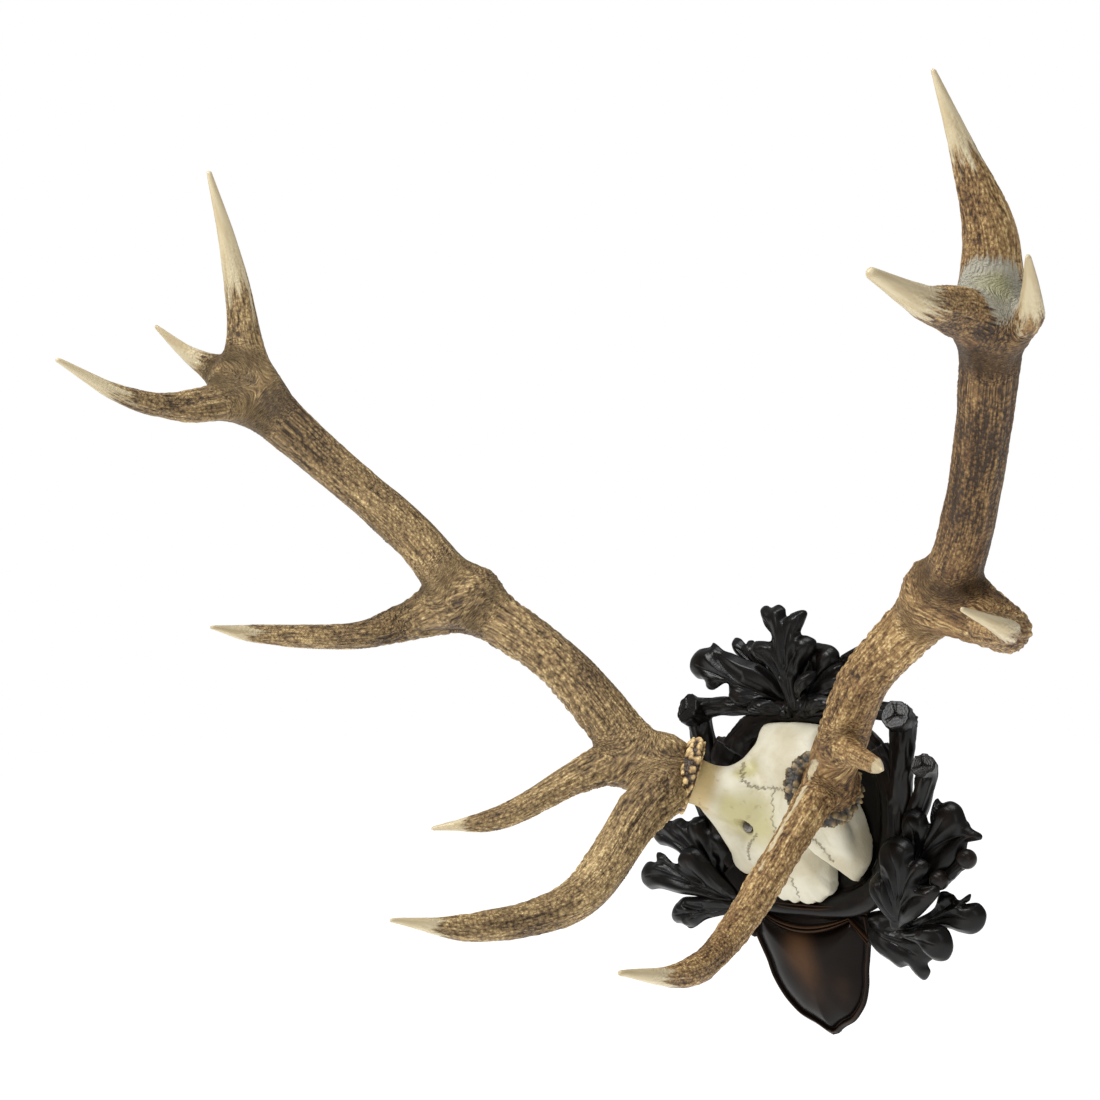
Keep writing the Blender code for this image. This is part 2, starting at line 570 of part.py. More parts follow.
def build():
    """Model every piece of the trophy."""
    for old in list(bpy.data.objects):
        bpy.data.objects.remove(old)
    bone = material("antler_and_bone", (0.42, 0.33, 0.20), 0.55)
    wood = material("ebonised_oak", (0.012, 0.010, 0.009), 0.32)
    steel = material("screw_steel", (0.30, 0.30, 0.31), 0.30, 1.0)

    trophy = [skull_plate()]
    for side, branches, widths in ((-1, LEFT_ANTLER, LEFT_WIDTHS), (1, RIGHT_ANTLER, RIGHT_WIDTHS)):
        trophy += pedicle(side, branches["beam"][0]) + antler(side, branches, widths)
    combine("antlers_and_skull_cap", bone, trophy)
    combine("antlers_and_skull_cap", bone,
            [trophy[0]] + [screw_hole(side, f"skull_hole_{side}") for side in (-1, 1)],
            "DIFFERENCE")

    plaque = [dish(), acorn(), cup()] + top_spray() + side_spray(-1) + side_spray(1)
    combine("carved_plaque", wood, plaque)
    combine("carved_plaque", wood,
            [plaque[0]] + [screw_hole(side, f"plaque_hole_{side}") for side in (-1, 1)],
            "DIFFERENCE")

    for side in (-1, 1):
        screw(side).data.materials.append(steel)


build()
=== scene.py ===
"""Looks of a red deer trophy: pearled antlers, skull cap and screws on an ebonised oak-leaf plaque.

Metres, +Z up. The wall is the plane y = 0, the trophy faces -Y and x = 0 halves the plaque.
Every shape is a numpy function of two parameters on a grid, or a tube along a smooth path. The
antlers and the skull cap are then skinned over as one surface each, because they are grown bone.
"""

import logging
from collections.abc import Callable
from dataclasses import dataclass, field
from enum import Enum
from math import cos, pi, radians, sin

import bmesh
import bpy
import numpy as np
from mathutils import Matrix, Vector


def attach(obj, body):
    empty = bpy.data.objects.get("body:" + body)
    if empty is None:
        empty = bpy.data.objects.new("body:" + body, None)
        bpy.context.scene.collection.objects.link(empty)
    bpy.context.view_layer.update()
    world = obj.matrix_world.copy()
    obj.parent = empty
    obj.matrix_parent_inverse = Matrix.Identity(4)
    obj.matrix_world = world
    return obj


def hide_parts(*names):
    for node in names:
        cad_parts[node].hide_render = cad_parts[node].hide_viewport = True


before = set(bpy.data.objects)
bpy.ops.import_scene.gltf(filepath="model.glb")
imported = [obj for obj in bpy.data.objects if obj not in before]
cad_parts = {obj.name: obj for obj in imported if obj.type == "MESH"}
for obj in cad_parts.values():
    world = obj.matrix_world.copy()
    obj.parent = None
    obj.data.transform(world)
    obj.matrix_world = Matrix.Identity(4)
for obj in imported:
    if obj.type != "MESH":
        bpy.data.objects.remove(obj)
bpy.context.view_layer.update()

LOG = logging.getLogger("trophy")
Array = np.ndarray
Triple = tuple[float, float, float]
Colour = Triple
Points = tuple[Triple, ...]
Pairs = tuple[tuple[float, float], ...]
PRIMES = (73856093, 19349663, 83492791)

BONE_NODE = "antlers_and_skull_cap"
WOOD_NODE = "carved_plaque"


class Side(Enum):
    """The two sides of the trophy as the viewer sees them."""

    LEFT = -1
    RIGHT = 1

    @property
    def word(self) -> str:
        """The side in small letters, as the pieces' names have it."""
        return self.name.lower()


# Numbers


def unit(vectors: Array) -> Array:
    """Vectors at length one along the last axis."""
    vectors = np.asarray(vectors, dtype=float)
    return vectors / np.maximum(np.linalg.norm(vectors, axis=-1, keepdims=True), 1e-9)


def smoothstep(low: float, high: float, value: Array) -> Array:
    """From 0 at low to 1 at high with level ends: three t squared minus two t cubed."""
    t = np.clip((np.asarray(value, dtype=float) - low) / (high - low), 0, 1)
    return t * t * (3 - 2 * t)


def bell(value: Array, width: Array | float) -> Array:
    """From 1 at value 0 towards 0: e to the power of minus the square of value over width."""
    return np.exp(-((value / width) ** 2))


def full_turn(count: int) -> Array:
    """Angles at even steps from 0 round to just before two pi."""
    return np.linspace(0, 2 * pi, count, endpoint=False)


def lengths_along(path: Array) -> Array:
    """How far along a path each of its points lies: the steps' lengths added up."""
    return np.concatenate([[0], np.cumsum(np.linalg.norm(np.diff(path, axis=0), axis=1))])


def catmull_rom(points: Array, count: int) -> Array:
    """A smooth curve through points.

    Args:
        points: the given points, one a row.
        count: how many points the curve gets.

    Returns:
        The curve's points: in each span the cubic whose slope at a point is half the step
        between that point's neighbours.
    """
    given = np.asarray(points, dtype=float)
    ends = np.vstack([2 * given[0] - given[1], given, 2 * given[-1] - given[-2]])
    where = np.linspace(0, len(given) - 1, count)
    piece = np.minimum(where.astype(int), len(given) - 2)
    t = (where - piece)[:, None]
    a, b, c, d = ends[piece], ends[piece + 1], ends[piece + 2], ends[piece + 3]
    return 0.5 * (2 * b + (c - a) * t + (2 * a - 5 * b + 4 * c - d) * t**2
                  + (3 * b - a - 3 * c + d) * t**3)


def hashed(cells: Array, seed: int) -> Array:
    """A repeatable random number for every whole-number cell.

    Args:
        cells: three whole numbers for each cell.
        seed: which pattern.

    Returns:
        Numbers from 0 to 1, from the low bits of products of the cell's numbers and large primes.
    """
    n = np.asarray(cells).astype(np.int64)
    mixed = ((n[..., 0] * PRIMES[0]) ^ (n[..., 1] * PRIMES[1]) ^ (n[..., 2] * PRIMES[2])
             ^ (seed * 2654435))
    mixed = ((mixed ^ (mixed >> 13)) * 1274126177) & 0xFFFFFFFF
    mixed ^= mixed >> 16
    return (mixed & 0xFFFF) / 65535.0


def noise(points: Array, size: float, seed: int) -> Array:
    """Soft random values: hashed corners of a cubic lattice, blended with smoothstep.

    Args:
        points: where to measure, one point a row.
        size: the side of a lattice cube.
        seed: which pattern.

    Returns:
        Values from 0 to 1.
    """
    scaled = np.asarray(points, dtype=float) / size
    cell = np.floor(scaled)
    t = scaled - cell
    t = t * t * (3 - 2 * t)
    total = np.zeros(len(scaled))
    for corner in np.ndindex(2, 2, 2):
        share = np.prod(np.where(corner, t, 1 - t), axis=-1)
        total += share * hashed(cell + np.array(corner), seed)
    return total


def fractal(points: Array, size: float, seed: int, octaves: int = 3) -> Array:
    """Noise with finer noise on it.

    Args:
        points: where to measure, one point a row.
        size: the side of a lattice cube of the coarsest noise.
        seed: which pattern.
        octaves: how many noises are added up.

    Returns:
        Values from 0 to 1: each octave is half as large and counts for half as much.
    """
    total, weight = np.zeros(len(points)), 0.0
    for octave in range(octaves):
        share = 0.5**octave
        total += share * noise(points, size * share, seed + 17 * octave)
        weight += share
    return total / weight


def creases(points: Array, size: float, seed: int, sharpness: float, octaves: int = 2) -> Array:
    """Winding lines: the places where soft noise is one half.

    Args:
        points: where to measure, one point a row.
        size: about how far apart the lines are.
        seed: which pattern.
        sharpness: how fast the value falls beside a line.
        octaves: how many noises are added up.

    Returns:
        1 on a line, less sharpness times what twice the noise differs from 1.
    """
    return 1 - np.abs(2 * fractal(points, size, seed, octaves) - 1) * sharpness


def beads(points: Array, size: float, seed: int, spread: float = 0.36) -> Array:
    """Round pearls at random places.

    Args:
        points: where to measure, one point a row.
        size: mean distance between two pearls.
        seed: which pattern.
        spread: squared radius of a pearl, in squared cells.

    Returns:
        One minus the squared distance to the nearest pearl's middle over spread, at least 0.
    """
    scaled = np.asarray(points, dtype=float) / size
    cell = np.floor(scaled)
    nearest = np.full(len(scaled), 9.0)
    for shift in np.ndindex(3, 3, 3):
        corner = cell + np.array(shift) - 1
        middle = corner + np.stack([hashed(corner, seed + k) for k in range(3)], axis=-1)
        nearest = np.minimum(nearest, ((scaled - middle) ** 2).sum(axis=-1))
    return np.clip(1 - nearest / spread, 0, 1)


def line_distance(points: Array, line: Array) -> Array:
    """How far points are from a line of straight pieces.

    Args:
        points: places across and up, one a row.
        line: the line's corners.

    Returns:
        The distance from each point to the nearest place on the nearest piece.
    """
    start, step = line[:-1], np.diff(line, axis=0)
    offset = points[:, None] - start[None]
    share = np.clip((offset * step).sum(-1) / np.maximum((step**2).sum(-1), 1e-12), 0, 1)
    return np.linalg.norm(offset - share[..., None] * step, axis=-1).min(axis=1)


# Surfaces


@dataclass
class Skin:
    """A surface of four-cornered and three-cornered faces, with values at its vertices."""

    vertices: Array
    quads: Array = field(default_factory=lambda: np.zeros((0, 4), dtype=int))
    triangles: Array = field(default_factory=lambda: np.zeros((0, 3), dtype=int))
    values: dict[str, Array] = field(default_factory=dict)

    @classmethod
    def lofted(cls, rings: Array, first: Array | None = None, last: Array | None = None,
               values: dict[str, Array] | None = None) -> "Skin":
        """A closed skin through rings.

        Args:
            rings: points as rings by places around by three.
            first: a point that closes the first ring, or its mean.
            last: a point that closes the last ring, or its mean.
            values: a number for each point of the rings, by name.

        Returns:
            The skin, each ring joined to the next and both ends closed to a point.
        """
        rows, around = rings.shape[:2]
        i, j = np.meshgrid(np.arange(rows - 1), np.arange(around), indexing="ij")
        low, turn = i * around, (j + 1) % around
        quads = np.stack([low + j, low + turn, low + around + turn, low + around + j], -1)
        here = np.arange(around)
        ahead = (here + 1) % around
        start, end = rows * around, rows * around + 1
        fans = np.vstack([np.stack([ahead, here, np.full(around, start)], -1),
                          np.stack([here, ahead, np.full(around, end)], -1)
                          + [(rows - 1) * around, (rows - 1) * around, 0]])
        poles = [rings[0].mean(0) if first is None else np.asarray(first, dtype=float),
                 rings[-1].mean(0) if last is None else np.asarray(last, dtype=float)]
        kept = {name: np.concatenate([np.ravel(value), [np.mean(value[0]), np.mean(value[-1])]])
                for name, value in (values or {}).items()}
        return cls(np.vstack([rings.reshape(-1, 3), poles]), quads.reshape(-1, 4), fans, kept)

    @classmethod
    def joined(cls, skins: list["Skin"]) -> "Skin":
        """Several skins as one.

        Args:
            skins: the skins, which have the same values by name.

        Returns:
            One skin whose faces count on from those of the skin before.
        """
        starts = np.cumsum([0] + [len(skin.vertices) for skin in skins])
        return cls(np.vstack([skin.vertices for skin in skins]),
                   np.vstack([skin.quads + start for skin, start in zip(skins, starts)]),
                   np.vstack([skin.triangles + start for skin, start in zip(skins, starts)]),
                   {name: np.concatenate([skin.values[name] for skin in skins])
                    for name in skins[0].values})

    def normals(self) -> Array:
        """The outward direction at each vertex.

        Returns:
            The area vectors of a vertex's faces added up, at length one.
        """
        total = np.zeros_like(self.vertices)
        for faces in (self.quads, self.triangles):
            if not len(faces):
                continue
            corner = self.vertices[faces]
            area = np.cross(corner[:, 2] - corner[:, 0], corner[:, -1] - corner[:, 1])
            for k in range(faces.shape[1]):
                for axis in range(3):
                    total[:, axis] += np.bincount(faces[:, k], area[:, axis], len(total))
        return unit(total)

    def relax(self, weight: Array, rounds: int) -> None:
        """Move each vertex part of the way towards the mean of its neighbours.

        Args:
            weight: twice the share of the way, one for each vertex.
            rounds: how many times.
        """
        pairs = [faces[:, [k, (k + 1) % faces.shape[1]]] for faces in (self.quads, self.triangles)
                 for k in range(faces.shape[1]) if len(faces)]
        pairs = np.vstack(pairs)
        pairs = np.vstack([pairs, pairs[:, ::-1]])
        count = np.maximum(np.bincount(pairs[:, 0], minlength=len(self.vertices)), 1)
        for _ in range(rounds):
            mean = np.stack([np.bincount(pairs[:, 0], self.vertices[pairs[:, 1], axis],
                                         len(self.vertices)) / count for axis in range(3)], -1)
            self.vertices = self.vertices + (mean - self.vertices) * weight[:, None] * 0.5

    def skinned_over(self, voxel: float) -> "Skin":
        """One outer skin over overlapping closed skins, worked out on a cube grid.

        Args:
            voxel: the side of a cube of the grid.

        Returns:
            A new skin with no values.
        """
        piece = self.to_object("skinning")
        cubes = piece.modifiers.new("Cubes", "REMESH")
        cubes.mode = "VOXEL"
        cubes.voxel_size = voxel
        held = piece.evaluated_get(bpy.context.evaluated_depsgraph_get())
        mesh = held.to_mesh()
        points = np.empty(len(mesh.vertices) * 3)
        mesh.vertices.foreach_get("co", points)
        corners = np.empty(len(mesh.loops), dtype=int)
        mesh.loops.foreach_get("vertex_index", corners)
        totals = np.empty(len(mesh.polygons), dtype=int)
        mesh.polygons.foreach_get("loop_total", totals)
        starts = np.cumsum(totals) - totals
        quads = corners[starts[totals == 4][:, None] + np.arange(4)]
        triangles = corners[starts[totals == 3][:, None] + np.arange(3)]
        held.to_mesh_clear()
        kept = piece.data
        bpy.data.objects.remove(piece)
        bpy.data.meshes.remove(kept)
        return Skin(points.reshape(-1, 3), quads.astype(int), triangles.astype(int))

    def to_object(self, name: str, finish: bpy.types.Material | None = None) -> bpy.types.Object:
        """A smooth-shaded mesh object at the origin, its faces outwards.

        Args:
            name: the object's name.
            finish: its material.

        Returns:
            The object, which carries the skin's values as attributes.
        """
        mesh = bpy.data.meshes.new(name)
        mesh.vertices.add(len(self.vertices))
        mesh.vertices.foreach_set("co", self.vertices.astype(np.float32).ravel())
        corners = np.concatenate([self.quads.ravel(), self.triangles.ravel()]).astype(np.int32)
        totals = np.concatenate([np.full(len(self.quads), 4), np.full(len(self.triangles), 3)])
        mesh.loops.add(len(corners))
        mesh.loops.foreach_set("vertex_index", corners)
        mesh.polygons.add(len(totals))
        mesh.polygons.foreach_set("loop_start", (np.cumsum(totals) - totals).astype(np.int32))
        mesh.update(calc_edges=True)
        mesh.validate()
        for key, value in self.values.items():
            kind = "FLOAT_VECTOR" if value.ndim > 1 else "FLOAT"
            layer = mesh.attributes.new(key, kind, "POINT")
            layer.data.foreach_set("vector" if value.ndim > 1 else "value",
                                   value.astype(np.float32).ravel())
        made = bmesh.new()
        made.from_mesh(mesh)
        bmesh.ops.recalc_face_normals(made, faces=made.faces)
        made.to_mesh(mesh)
        made.free()
        mesh.shade_smooth()
        if finish:
            mesh.materials.append(finish)
        piece = bpy.data.objects.new(name, mesh)
        bpy.context.scene.collection.objects.link(piece)
        return piece


@dataclass
class Limb:
    """A tapering tube along a smooth path, with a round tip and coordinates of its own."""

    path: Array
    radii: Array
    polish: float = 0.0
    seed: int = 0

    def __post_init__(self) -> None:
        """Work out the lengths along the path and two directions across it."""
        self.arc = lengths_along(self.path)
        self.tangent = unit(np.gradient(self.path, axis=0))
        least = np.eye(3)[np.abs(self.tangent).max(axis=0).argmin()]
        self.side = unit(np.cross(self.tangent, least))
        self.other = np.cross(self.tangent, self.side)

    @classmethod
    def through(cls, points: Array, radii: Array, step: float = 0.006, polish: float = 0.0,
                seed: int = 0) -> "Limb":
        """A limb through a few points.

        Args:
            points: the given points, one a row.
            radii: a radius at each of them, or one for all.
            step: about how far apart the path's points are.
            polish: how long the polished tip is.
            seed: which pattern its skin has.

        Returns:
            The limb, its path and radii on a smooth curve.
        """
        points = np.asarray(points, dtype=float)
        length = np.linalg.norm(np.diff(points, axis=0), axis=1).sum()
        count = max(8, int(length / step))
        wide = catmull_rom(np.reshape(np.broadcast_to(radii, len(points)), (-1, 1)), count)[:, 0]
        return cls(catmull_rom(points, count), np.maximum(wide, 0.0016), polish, seed)

    @property
    def length(self) -> float:
        """The length along the path."""
        return float(self.arc[-1])

    def rings(self, sides: int) -> Array:
        """Points around the path.

        Args:
            sides: how many points a ring has.

        Returns:
            The path plus the radius times cosine and sine of the angle across it.
        """
        angle = full_turn(sides)
        return (self.path[:, None]
                + self.radii[:, None, None] * (np.cos(angle)[None, :, None] * self.side[:, None]
                                               + np.sin(angle)[None, :, None] * self.other[:, None]))

    def skin(self, sides: int) -> Skin:
        """The tube as a closed skin with a rounded tip."""
        tip = self.path[-1] + self.tangent[-1] * self.radii[-1] * 0.7
        return Skin.lofted(self.rings(sides), last=tip)

    def locate(self, points: Array) -> tuple[Array, Array]:
        """Where points lie from the limb.

        Args:
            points: one point a row.

        Returns:
            The distance from the limb's surface, and the place in the limb's own coordinates:
            cosine and sine across it times its radius, and the length along it.
        """
        nearest = np.empty(len(points), dtype=int)
        square = (self.path**2).sum(-1)
        batch = 20000
        for start in range(0, len(points), batch):
            part = points[start:start + batch]
            nearest[start:start + batch] = (square[None] - 2 * part @ self.path.T).argmin(axis=1)
        offset = points - self.path[nearest]
        along = (offset * self.tangent[nearest]).sum(-1)
        place = np.clip(self.arc[nearest] + along, 0, self.arc[-1])
        offset = offset - self.tangent[nearest] * (place - self.arc[nearest])[:, None]
        away = np.linalg.norm(offset, axis=-1)
        radius = np.interp(place, self.arc, self.radii)
        across = (offset * self.side[nearest]).sum(-1) / np.maximum(away, 1e-6) * radius
        up = (offset * self.other[nearest]).sum(-1) / np.maximum(away, 1e-6) * radius
        return away - radius, np.stack([across, up, place], axis=-1)


# Shaders


class Socket:
    """A number that a node gives, with Python's arithmetic on it."""

    def __init__(self, shader: "Shader", socket: bpy.types.NodeSocket) -> None:
        """Wrap one output socket of a shader's node."""
        self.shader = shader
        self.socket = socket

    def maths(self, operation: str, *values: "Socket | float") -> "Socket":
        """The result of one Math node on the given values."""
        return self.shader.node("ShaderNodeMath", {"operation": operation}, dict(enumerate(values)))

    def __add__(self, other: "Socket | float") -> "Socket":
        """Sum."""
        return self.maths("ADD", self, other)

    __radd__ = __add__

    def __mul__(self, other: "Socket | float") -> "Socket":
        """Product."""
        return self.maths("MULTIPLY", self, other)

    __rmul__ = __mul__

    def __sub__(self, other: "Socket | float") -> "Socket":
        """Difference."""
        return self.maths("SUBTRACT", self, other)

    def __rsub__(self, other: "Socket | float") -> "Socket":
        """Difference, the other way round."""
        return self.maths("SUBTRACT", other, self)

    def between(self, low: float, high: float) -> "Socket":
        """Smoothly from 0 at low to 1 at high."""
        return self.shader.node("ShaderNodeMapRange", {"interpolation_type": "SMOOTHSTEP"},
                                {"Value": self, "From Min": low, "From Max": high})


class Shader:
    """A node material with one Principled shader."""

    def __init__(self, name: str, **constants: float) -> None:
        """Make the material.

        Args:
            name: its name.
            constants: the sockets that are the same all over, an underscore for each space.
        """
        self.material = bpy.data.materials.new(name)
        self.material.use_nodes = True
        self.tree = self.material.node_tree
        self.principled = self.tree.nodes["Principled BSDF"]
        for key, value in constants.items():
            self.principled.inputs[key.replace("_", " ")].default_value = value

    def feed(self, socket: bpy.types.NodeSocket, value: "Socket | float | Colour") -> None:
        """Link a socket, or set its value.

        Args:
            socket: a node's input.
            value: a link, a number or a colour.
        """
        if isinstance(value, Socket):
            self.tree.links.new(value.socket, socket)
        elif socket.type == "RGBA":
            socket.default_value = (*value, 1.0)
        else:
            socket.default_value = value

    def node(self, kind: str, settings: dict[str, object] | None = None,
             values: dict[object, object] | None = None, output: int | str = 0) -> Socket:
        """Add one node.

        Args:
            kind: the node's type.
            settings: its properties, set first; a ramp's stops come as positions and colours.
            values: numbers, colours or links for its sockets.
            output: which output is returned.

        Returns:
            The output, wrapped.
        """
        made = self.tree.nodes.new(kind)
        for key, value in (settings or {}).items():
            if key == "stops":
                ramp = made.color_ramp
                while len(ramp.elements) < len(value):
                    ramp.elements.new(0.5)
                for element, (position, colour) in zip(ramp.elements, value):
                    element.position = position
                    element.color = (*colour, 1.0)
            else:
                setattr(made, key, value)
        for key, value in (values or {}).items():
            self.feed(made.inputs[key], value)
        return Socket(self, made.outputs[output])

    def value(self, name: str) -> Socket:
        """A number that the mesh carries."""
        return self.node("ShaderNodeAttribute", {"attribute_name": name}, output="Fac")

    def vector(self, name: str) -> Socket:
        """Coordinates that the mesh carries."""
        return self.node("ShaderNodeAttribute", {"attribute_name": name}, output="Vector")

    def place(self) -> Socket:
        """The piece's own coordinates."""
        return self.node("ShaderNodeTexCoord", output="Object")

    def stretched(self, place: Socket, scale: Triple) -> Socket:
        """Coordinates scaled along each axis."""
        return self.node("ShaderNodeMapping", None, {"Vector": place, "Scale": scale})

    def noise(self, place: Socket, scale: float, detail: float = 3.0) -> Socket:
        """Soft random values around one half."""
        return self.node("ShaderNodeTexNoise", None,
                         {"Vector": place, "Scale": scale, "Detail": detail})

    def ramp(self, value: Socket, stops: list[tuple[float, Colour]]) -> Socket:
        """A colour for each value."""
        return self.node("ShaderNodeValToRGB", {"stops": stops}, {"Fac": value}, "Color")

    def mix(self, share: Socket, first: "Socket | Colour", second: "Socket | Colour") -> Socket:
        """First colour at share 0, second at share 1, through the node's sockets for colours."""
        return self.node("ShaderNodeMix", {"data_type": "RGBA"}, {0: share, 6: first, 7: second}, 2)

    def finish(self, colour: Socket, roughness: "Socket | float", height: Socket,
               depth: float, strength: float = 1.0) -> bpy.types.Material:
        """Feed the Principled shader.

        Args:
            colour: the base colour.
            roughness: the roughness.
            height: fine relief from 0 to 1, given to a Bump node.
            depth: how deep that relief is.
            strength: how strongly it shows.

        Returns:
            The finished material.
        """
        bump = self.node("ShaderNodeBump", None,
                         {"Height": height, "Distance": depth, "Strength": strength}, "Normal")
        self.feed(self.principled.inputs["Base Color"], colour)
        self.feed(self.principled.inputs["Roughness"], roughness)
        self.feed(self.principled.inputs["Normal"], bump)
        return self.material


@dataclass(frozen=True)
class AntlerFinish:
    """Antler: dark in the furrows, tan on pearls and ridges, ivory at the polished tips.

    The tone adds relief, streaks, specks, clouds and pearls, and a ramp turns it into a colour from
    furrow to glint. Rust lies over patches by the share rusty. Worn places go from stain to ivory,
    and a palm is grey with moss in its middle.
    """

    name: str
    furrow: Colour = (0.040, 0.024, 0.012)
    brown: Colour = (0.155, 0.098, 0.042)
    ground: Colour = (0.29, 0.195, 0.088)
    pearl: Colour = (0.45, 0.315, 0.140)
    ivory: Colour = (0.53, 0.45, 0.29)
    rust: Colour = (0.150, 0.066, 0.022)
    rusty: float = 0.15
    glint: Colour = (0.68, 0.52, 0.27)
    stain: Colour = (0.46, 0.37, 0.22)
    grey: Colour = (0.36, 0.34, 0.27)
    moss: Colour = (0.26, 0.25, 0.11)

    def material(self) -> bpy.types.Material:
        """Build the material.

        Returns:
            The material.
        """
        shader = Shader(self.name, Specular_IOR_Level=0.32)
        relief, ivory = shader.value("relief"), shader.value("ivory")
        grain, place = shader.vector("grain"), shader.place()
        lengthwise = shader.stretched(grain, (1.0, 1.0, 0.085))
        streaks = shader.noise(lengthwise, 640.0, 4.0)
        long_streaks = shader.noise(shader.stretched(grain, (1.0, 1.0, 0.05)), 210.0, 3.0)
        pearls = 1.0 - shader.node("ShaderNodeTexVoronoi", {"feature": "SMOOTH_F1"},
                                   {"Vector": shader.stretched(grain, (1.0, 1.0, 0.7)),
                                    "Scale": 380.0, "Smoothness": 0.3}) * 1.5
        specks = shader.noise(place, 900.0, 3.0)
        clouds = shader.noise(place, 14.0, 2.0)
        tone = (relief * 0.36 + (streaks - 0.5) * 1.25 + (specks - 0.5) * 0.60
                + (clouds - 0.5) * 0.70 + pearls * 0.45 + 0.20)
        colour = shader.ramp(tone, [(0.10, self.furrow), (0.36, self.brown), (0.62, self.ground),
                                    (0.80, self.pearl), (1.0, self.glint)])
        patches = shader.noise(shader.stretched(grain, (1.0, 1.0, 0.25)), 48.0, 2.0)
        colour = shader.mix(patches.between(0.54, 0.72) * self.rusty, colour, self.rust)
        worn_and_sheen = (ivory * 1.15 + (long_streaks - 0.5) * 2.4 * (1.0 - ivory)
                + (streaks - 0.5) * 0.5).between(0.34, 0.66)
        ivory_tone = shader.mix(long_streaks.between(0.40, 0.62), self.stain, self.ivory)
        colour = shader.mix(worn_and_sheen * ivory.between(0.02, 0.25), colour, ivory_tone)
        palm = shader.value("palm")
        smooth = shader.mix((palm + (clouds - 0.5) * 0.8).between(0.75, 1.1), self.grey,
                            self.moss)
        colour = shader.mix((palm + (streaks - 0.5) * 1.2).between(0.25, 0.6), colour, smooth)
        height = (specks * 0.5 + streaks * 1.2 + pearls * 1.0) * (1.0 - ivory)
        return shader.finish(colour, 0.56 - worn_and_sheen * 0.26, height, 0.0015, 1.0)


@dataclass(frozen=True)
class BurrFinish:
    """A burr's beads: worn light on top and dark between them."""

    name: str
    crevice: Colour
    bead: Colour
    top: Colour

    def material(self) -> bpy.types.Material:
        """Build the material.

        Returns:
            The material.
        """
        shader = Shader(self.name)
        relief, place = shader.value("relief"), shader.place()
        specks = shader.noise(place, 600.0, 3.0)
        colour = shader.ramp(relief + (specks - 0.5) * 0.35,
                             [(0.22, self.crevice), (0.56, self.bead), (0.90, self.top)])
        return shader.finish(colour, 0.50, specks, 0.0006, 0.7)


@dataclass(frozen=True)
class SkullFinish:
    """Boiled bone: cream white, yellow near the pedicles, with thin dark sutures and pores."""

    name: str = "skull bone"
    bone: Colour = (0.535, 0.505, 0.395)
    shade: Colour = (0.44, 0.39, 0.27)
    tan: Colour = (0.46, 0.345, 0.150)
    green: Colour = (0.38, 0.34, 0.14)
    line: Colour = (0.16, 0.13, 0.08)
    pore: Colour = (0.20, 0.13, 0.06)
    painted_shadow: Colour = (0.05, 0.035, 0.02)

    def material(self) -> bpy.types.Material:
        """Build the material.

        Returns:
            The material.
        """
        shader = Shader(self.name)
        place = shader.place()
        clouds = shader.noise(place, 28.0, 4.0)
        fine = shader.noise(place, 350.0, 4.0)
        colour = shader.mix(clouds.between(0.38, 0.66), self.bone, self.shade)
        tan = (shader.value("tan") + (clouds - 0.5) * 0.5).between(0.25, 0.95)
        colour = shader.mix(tan, colour, self.tan)
        green = (shader.value("green") + (clouds - 0.5) * 0.6).between(0.15, 0.9) * 0.80
        colour = shader.mix(green, colour, self.green)
        dots = shader.noise(place, 150.0, 3.0).between(0.60, 0.72)
        colour = shader.mix(dots * (tan * 0.5 + green * 0.3 + 0.08), colour, self.pore)
        wander = (fine - 0.5) * 0.0016
        crack = 1.0 - (shader.value("suture") + wander).between(0.0001, 0.0009)
        colour = shader.mix(crack * 0.75, colour, self.line)
        # A painted shadow: a dark ring round each screw head.
        pit = shader.value("pit")
        colour = shader.mix(pit, colour, self.painted_shadow)
        height = fine * 0.5 + clouds * 0.4 - crack * 1.2
        return shader.finish(colour, 0.46, height, 0.0010, 0.75)


@dataclass(frozen=True)
class WoodFinish:
    """Ebonised oak with a waxed sheen: near black, rubbed brown on high edges, on the acorn also a
    painted sheen.
    """

    name: str = "ebonised oak"
    black: Colour = (0.0021, 0.0015, 0.0012)
    worn_and_sheen: Colour = (0.0120, 0.0066, 0.0040)
    sheen: float = 0.33
    marks: float = 0.0010
    gloss: float = 0.22
    patchy: float = 1.1

    def material(self) -> bpy.types.Material:
        """Build the material.

        Returns:
            The material.
        """
        shader = Shader(self.name, Specular_IOR_Level=self.gloss)
        place, wear = shader.place(), shader.value("wear")
        patches = shader.noise(place, 22.0, 3.0)
        tools = shader.noise(shader.stretched(place, (1.0, 0.6, 0.45)), 95.0, 2.0)
        grain = shader.noise(shader.stretched(place, (1.0, 1.0, 0.15)), 900.0, 3.0)
        # The brown is rubbed high edges, and on the acorn and its cup also painted sheen and glints.
        worn_and_sheen = (wear * 0.8 + (patches - 0.5) * self.patchy).between(0.25, 0.95)
        colour = shader.mix(worn_and_sheen, self.black, self.worn_and_sheen)
        roughness = self.sheen + (patches - 0.5) * 0.16 + (grain - 0.5) * 0.10
        return shader.finish(colour, roughness, tools + grain * 0.12, self.marks, 0.55)


@dataclass(frozen=True)
class SteelFinish:
    """Dull dark steel of the screws."""

    name: str = "screw steel"
    dark: Colour = (0.085, 0.080, 0.074)
    light: Colour = (0.20, 0.185, 0.165)

    def material(self) -> bpy.types.Material:
        """Build the material.

        Returns:
            The material.
        """
        shader = Shader(self.name, Metallic=1.0)
        scratches = shader.noise(shader.place(), 900.0, 3.0)
        colour = shader.mix(scratches.between(0.3, 0.7), self.dark, self.light)
        return shader.finish(colour, 0.30 + scratches * 0.15, scratches, 0.0001, 0.5)


# Antlers


@dataclass
class Branch:
    """A beam or a tine: points outwards, forwards and up from the burr, as shares of the reach."""

    points: Points
    widths: tuple[float, ...]
    polish: float
    pearls: float


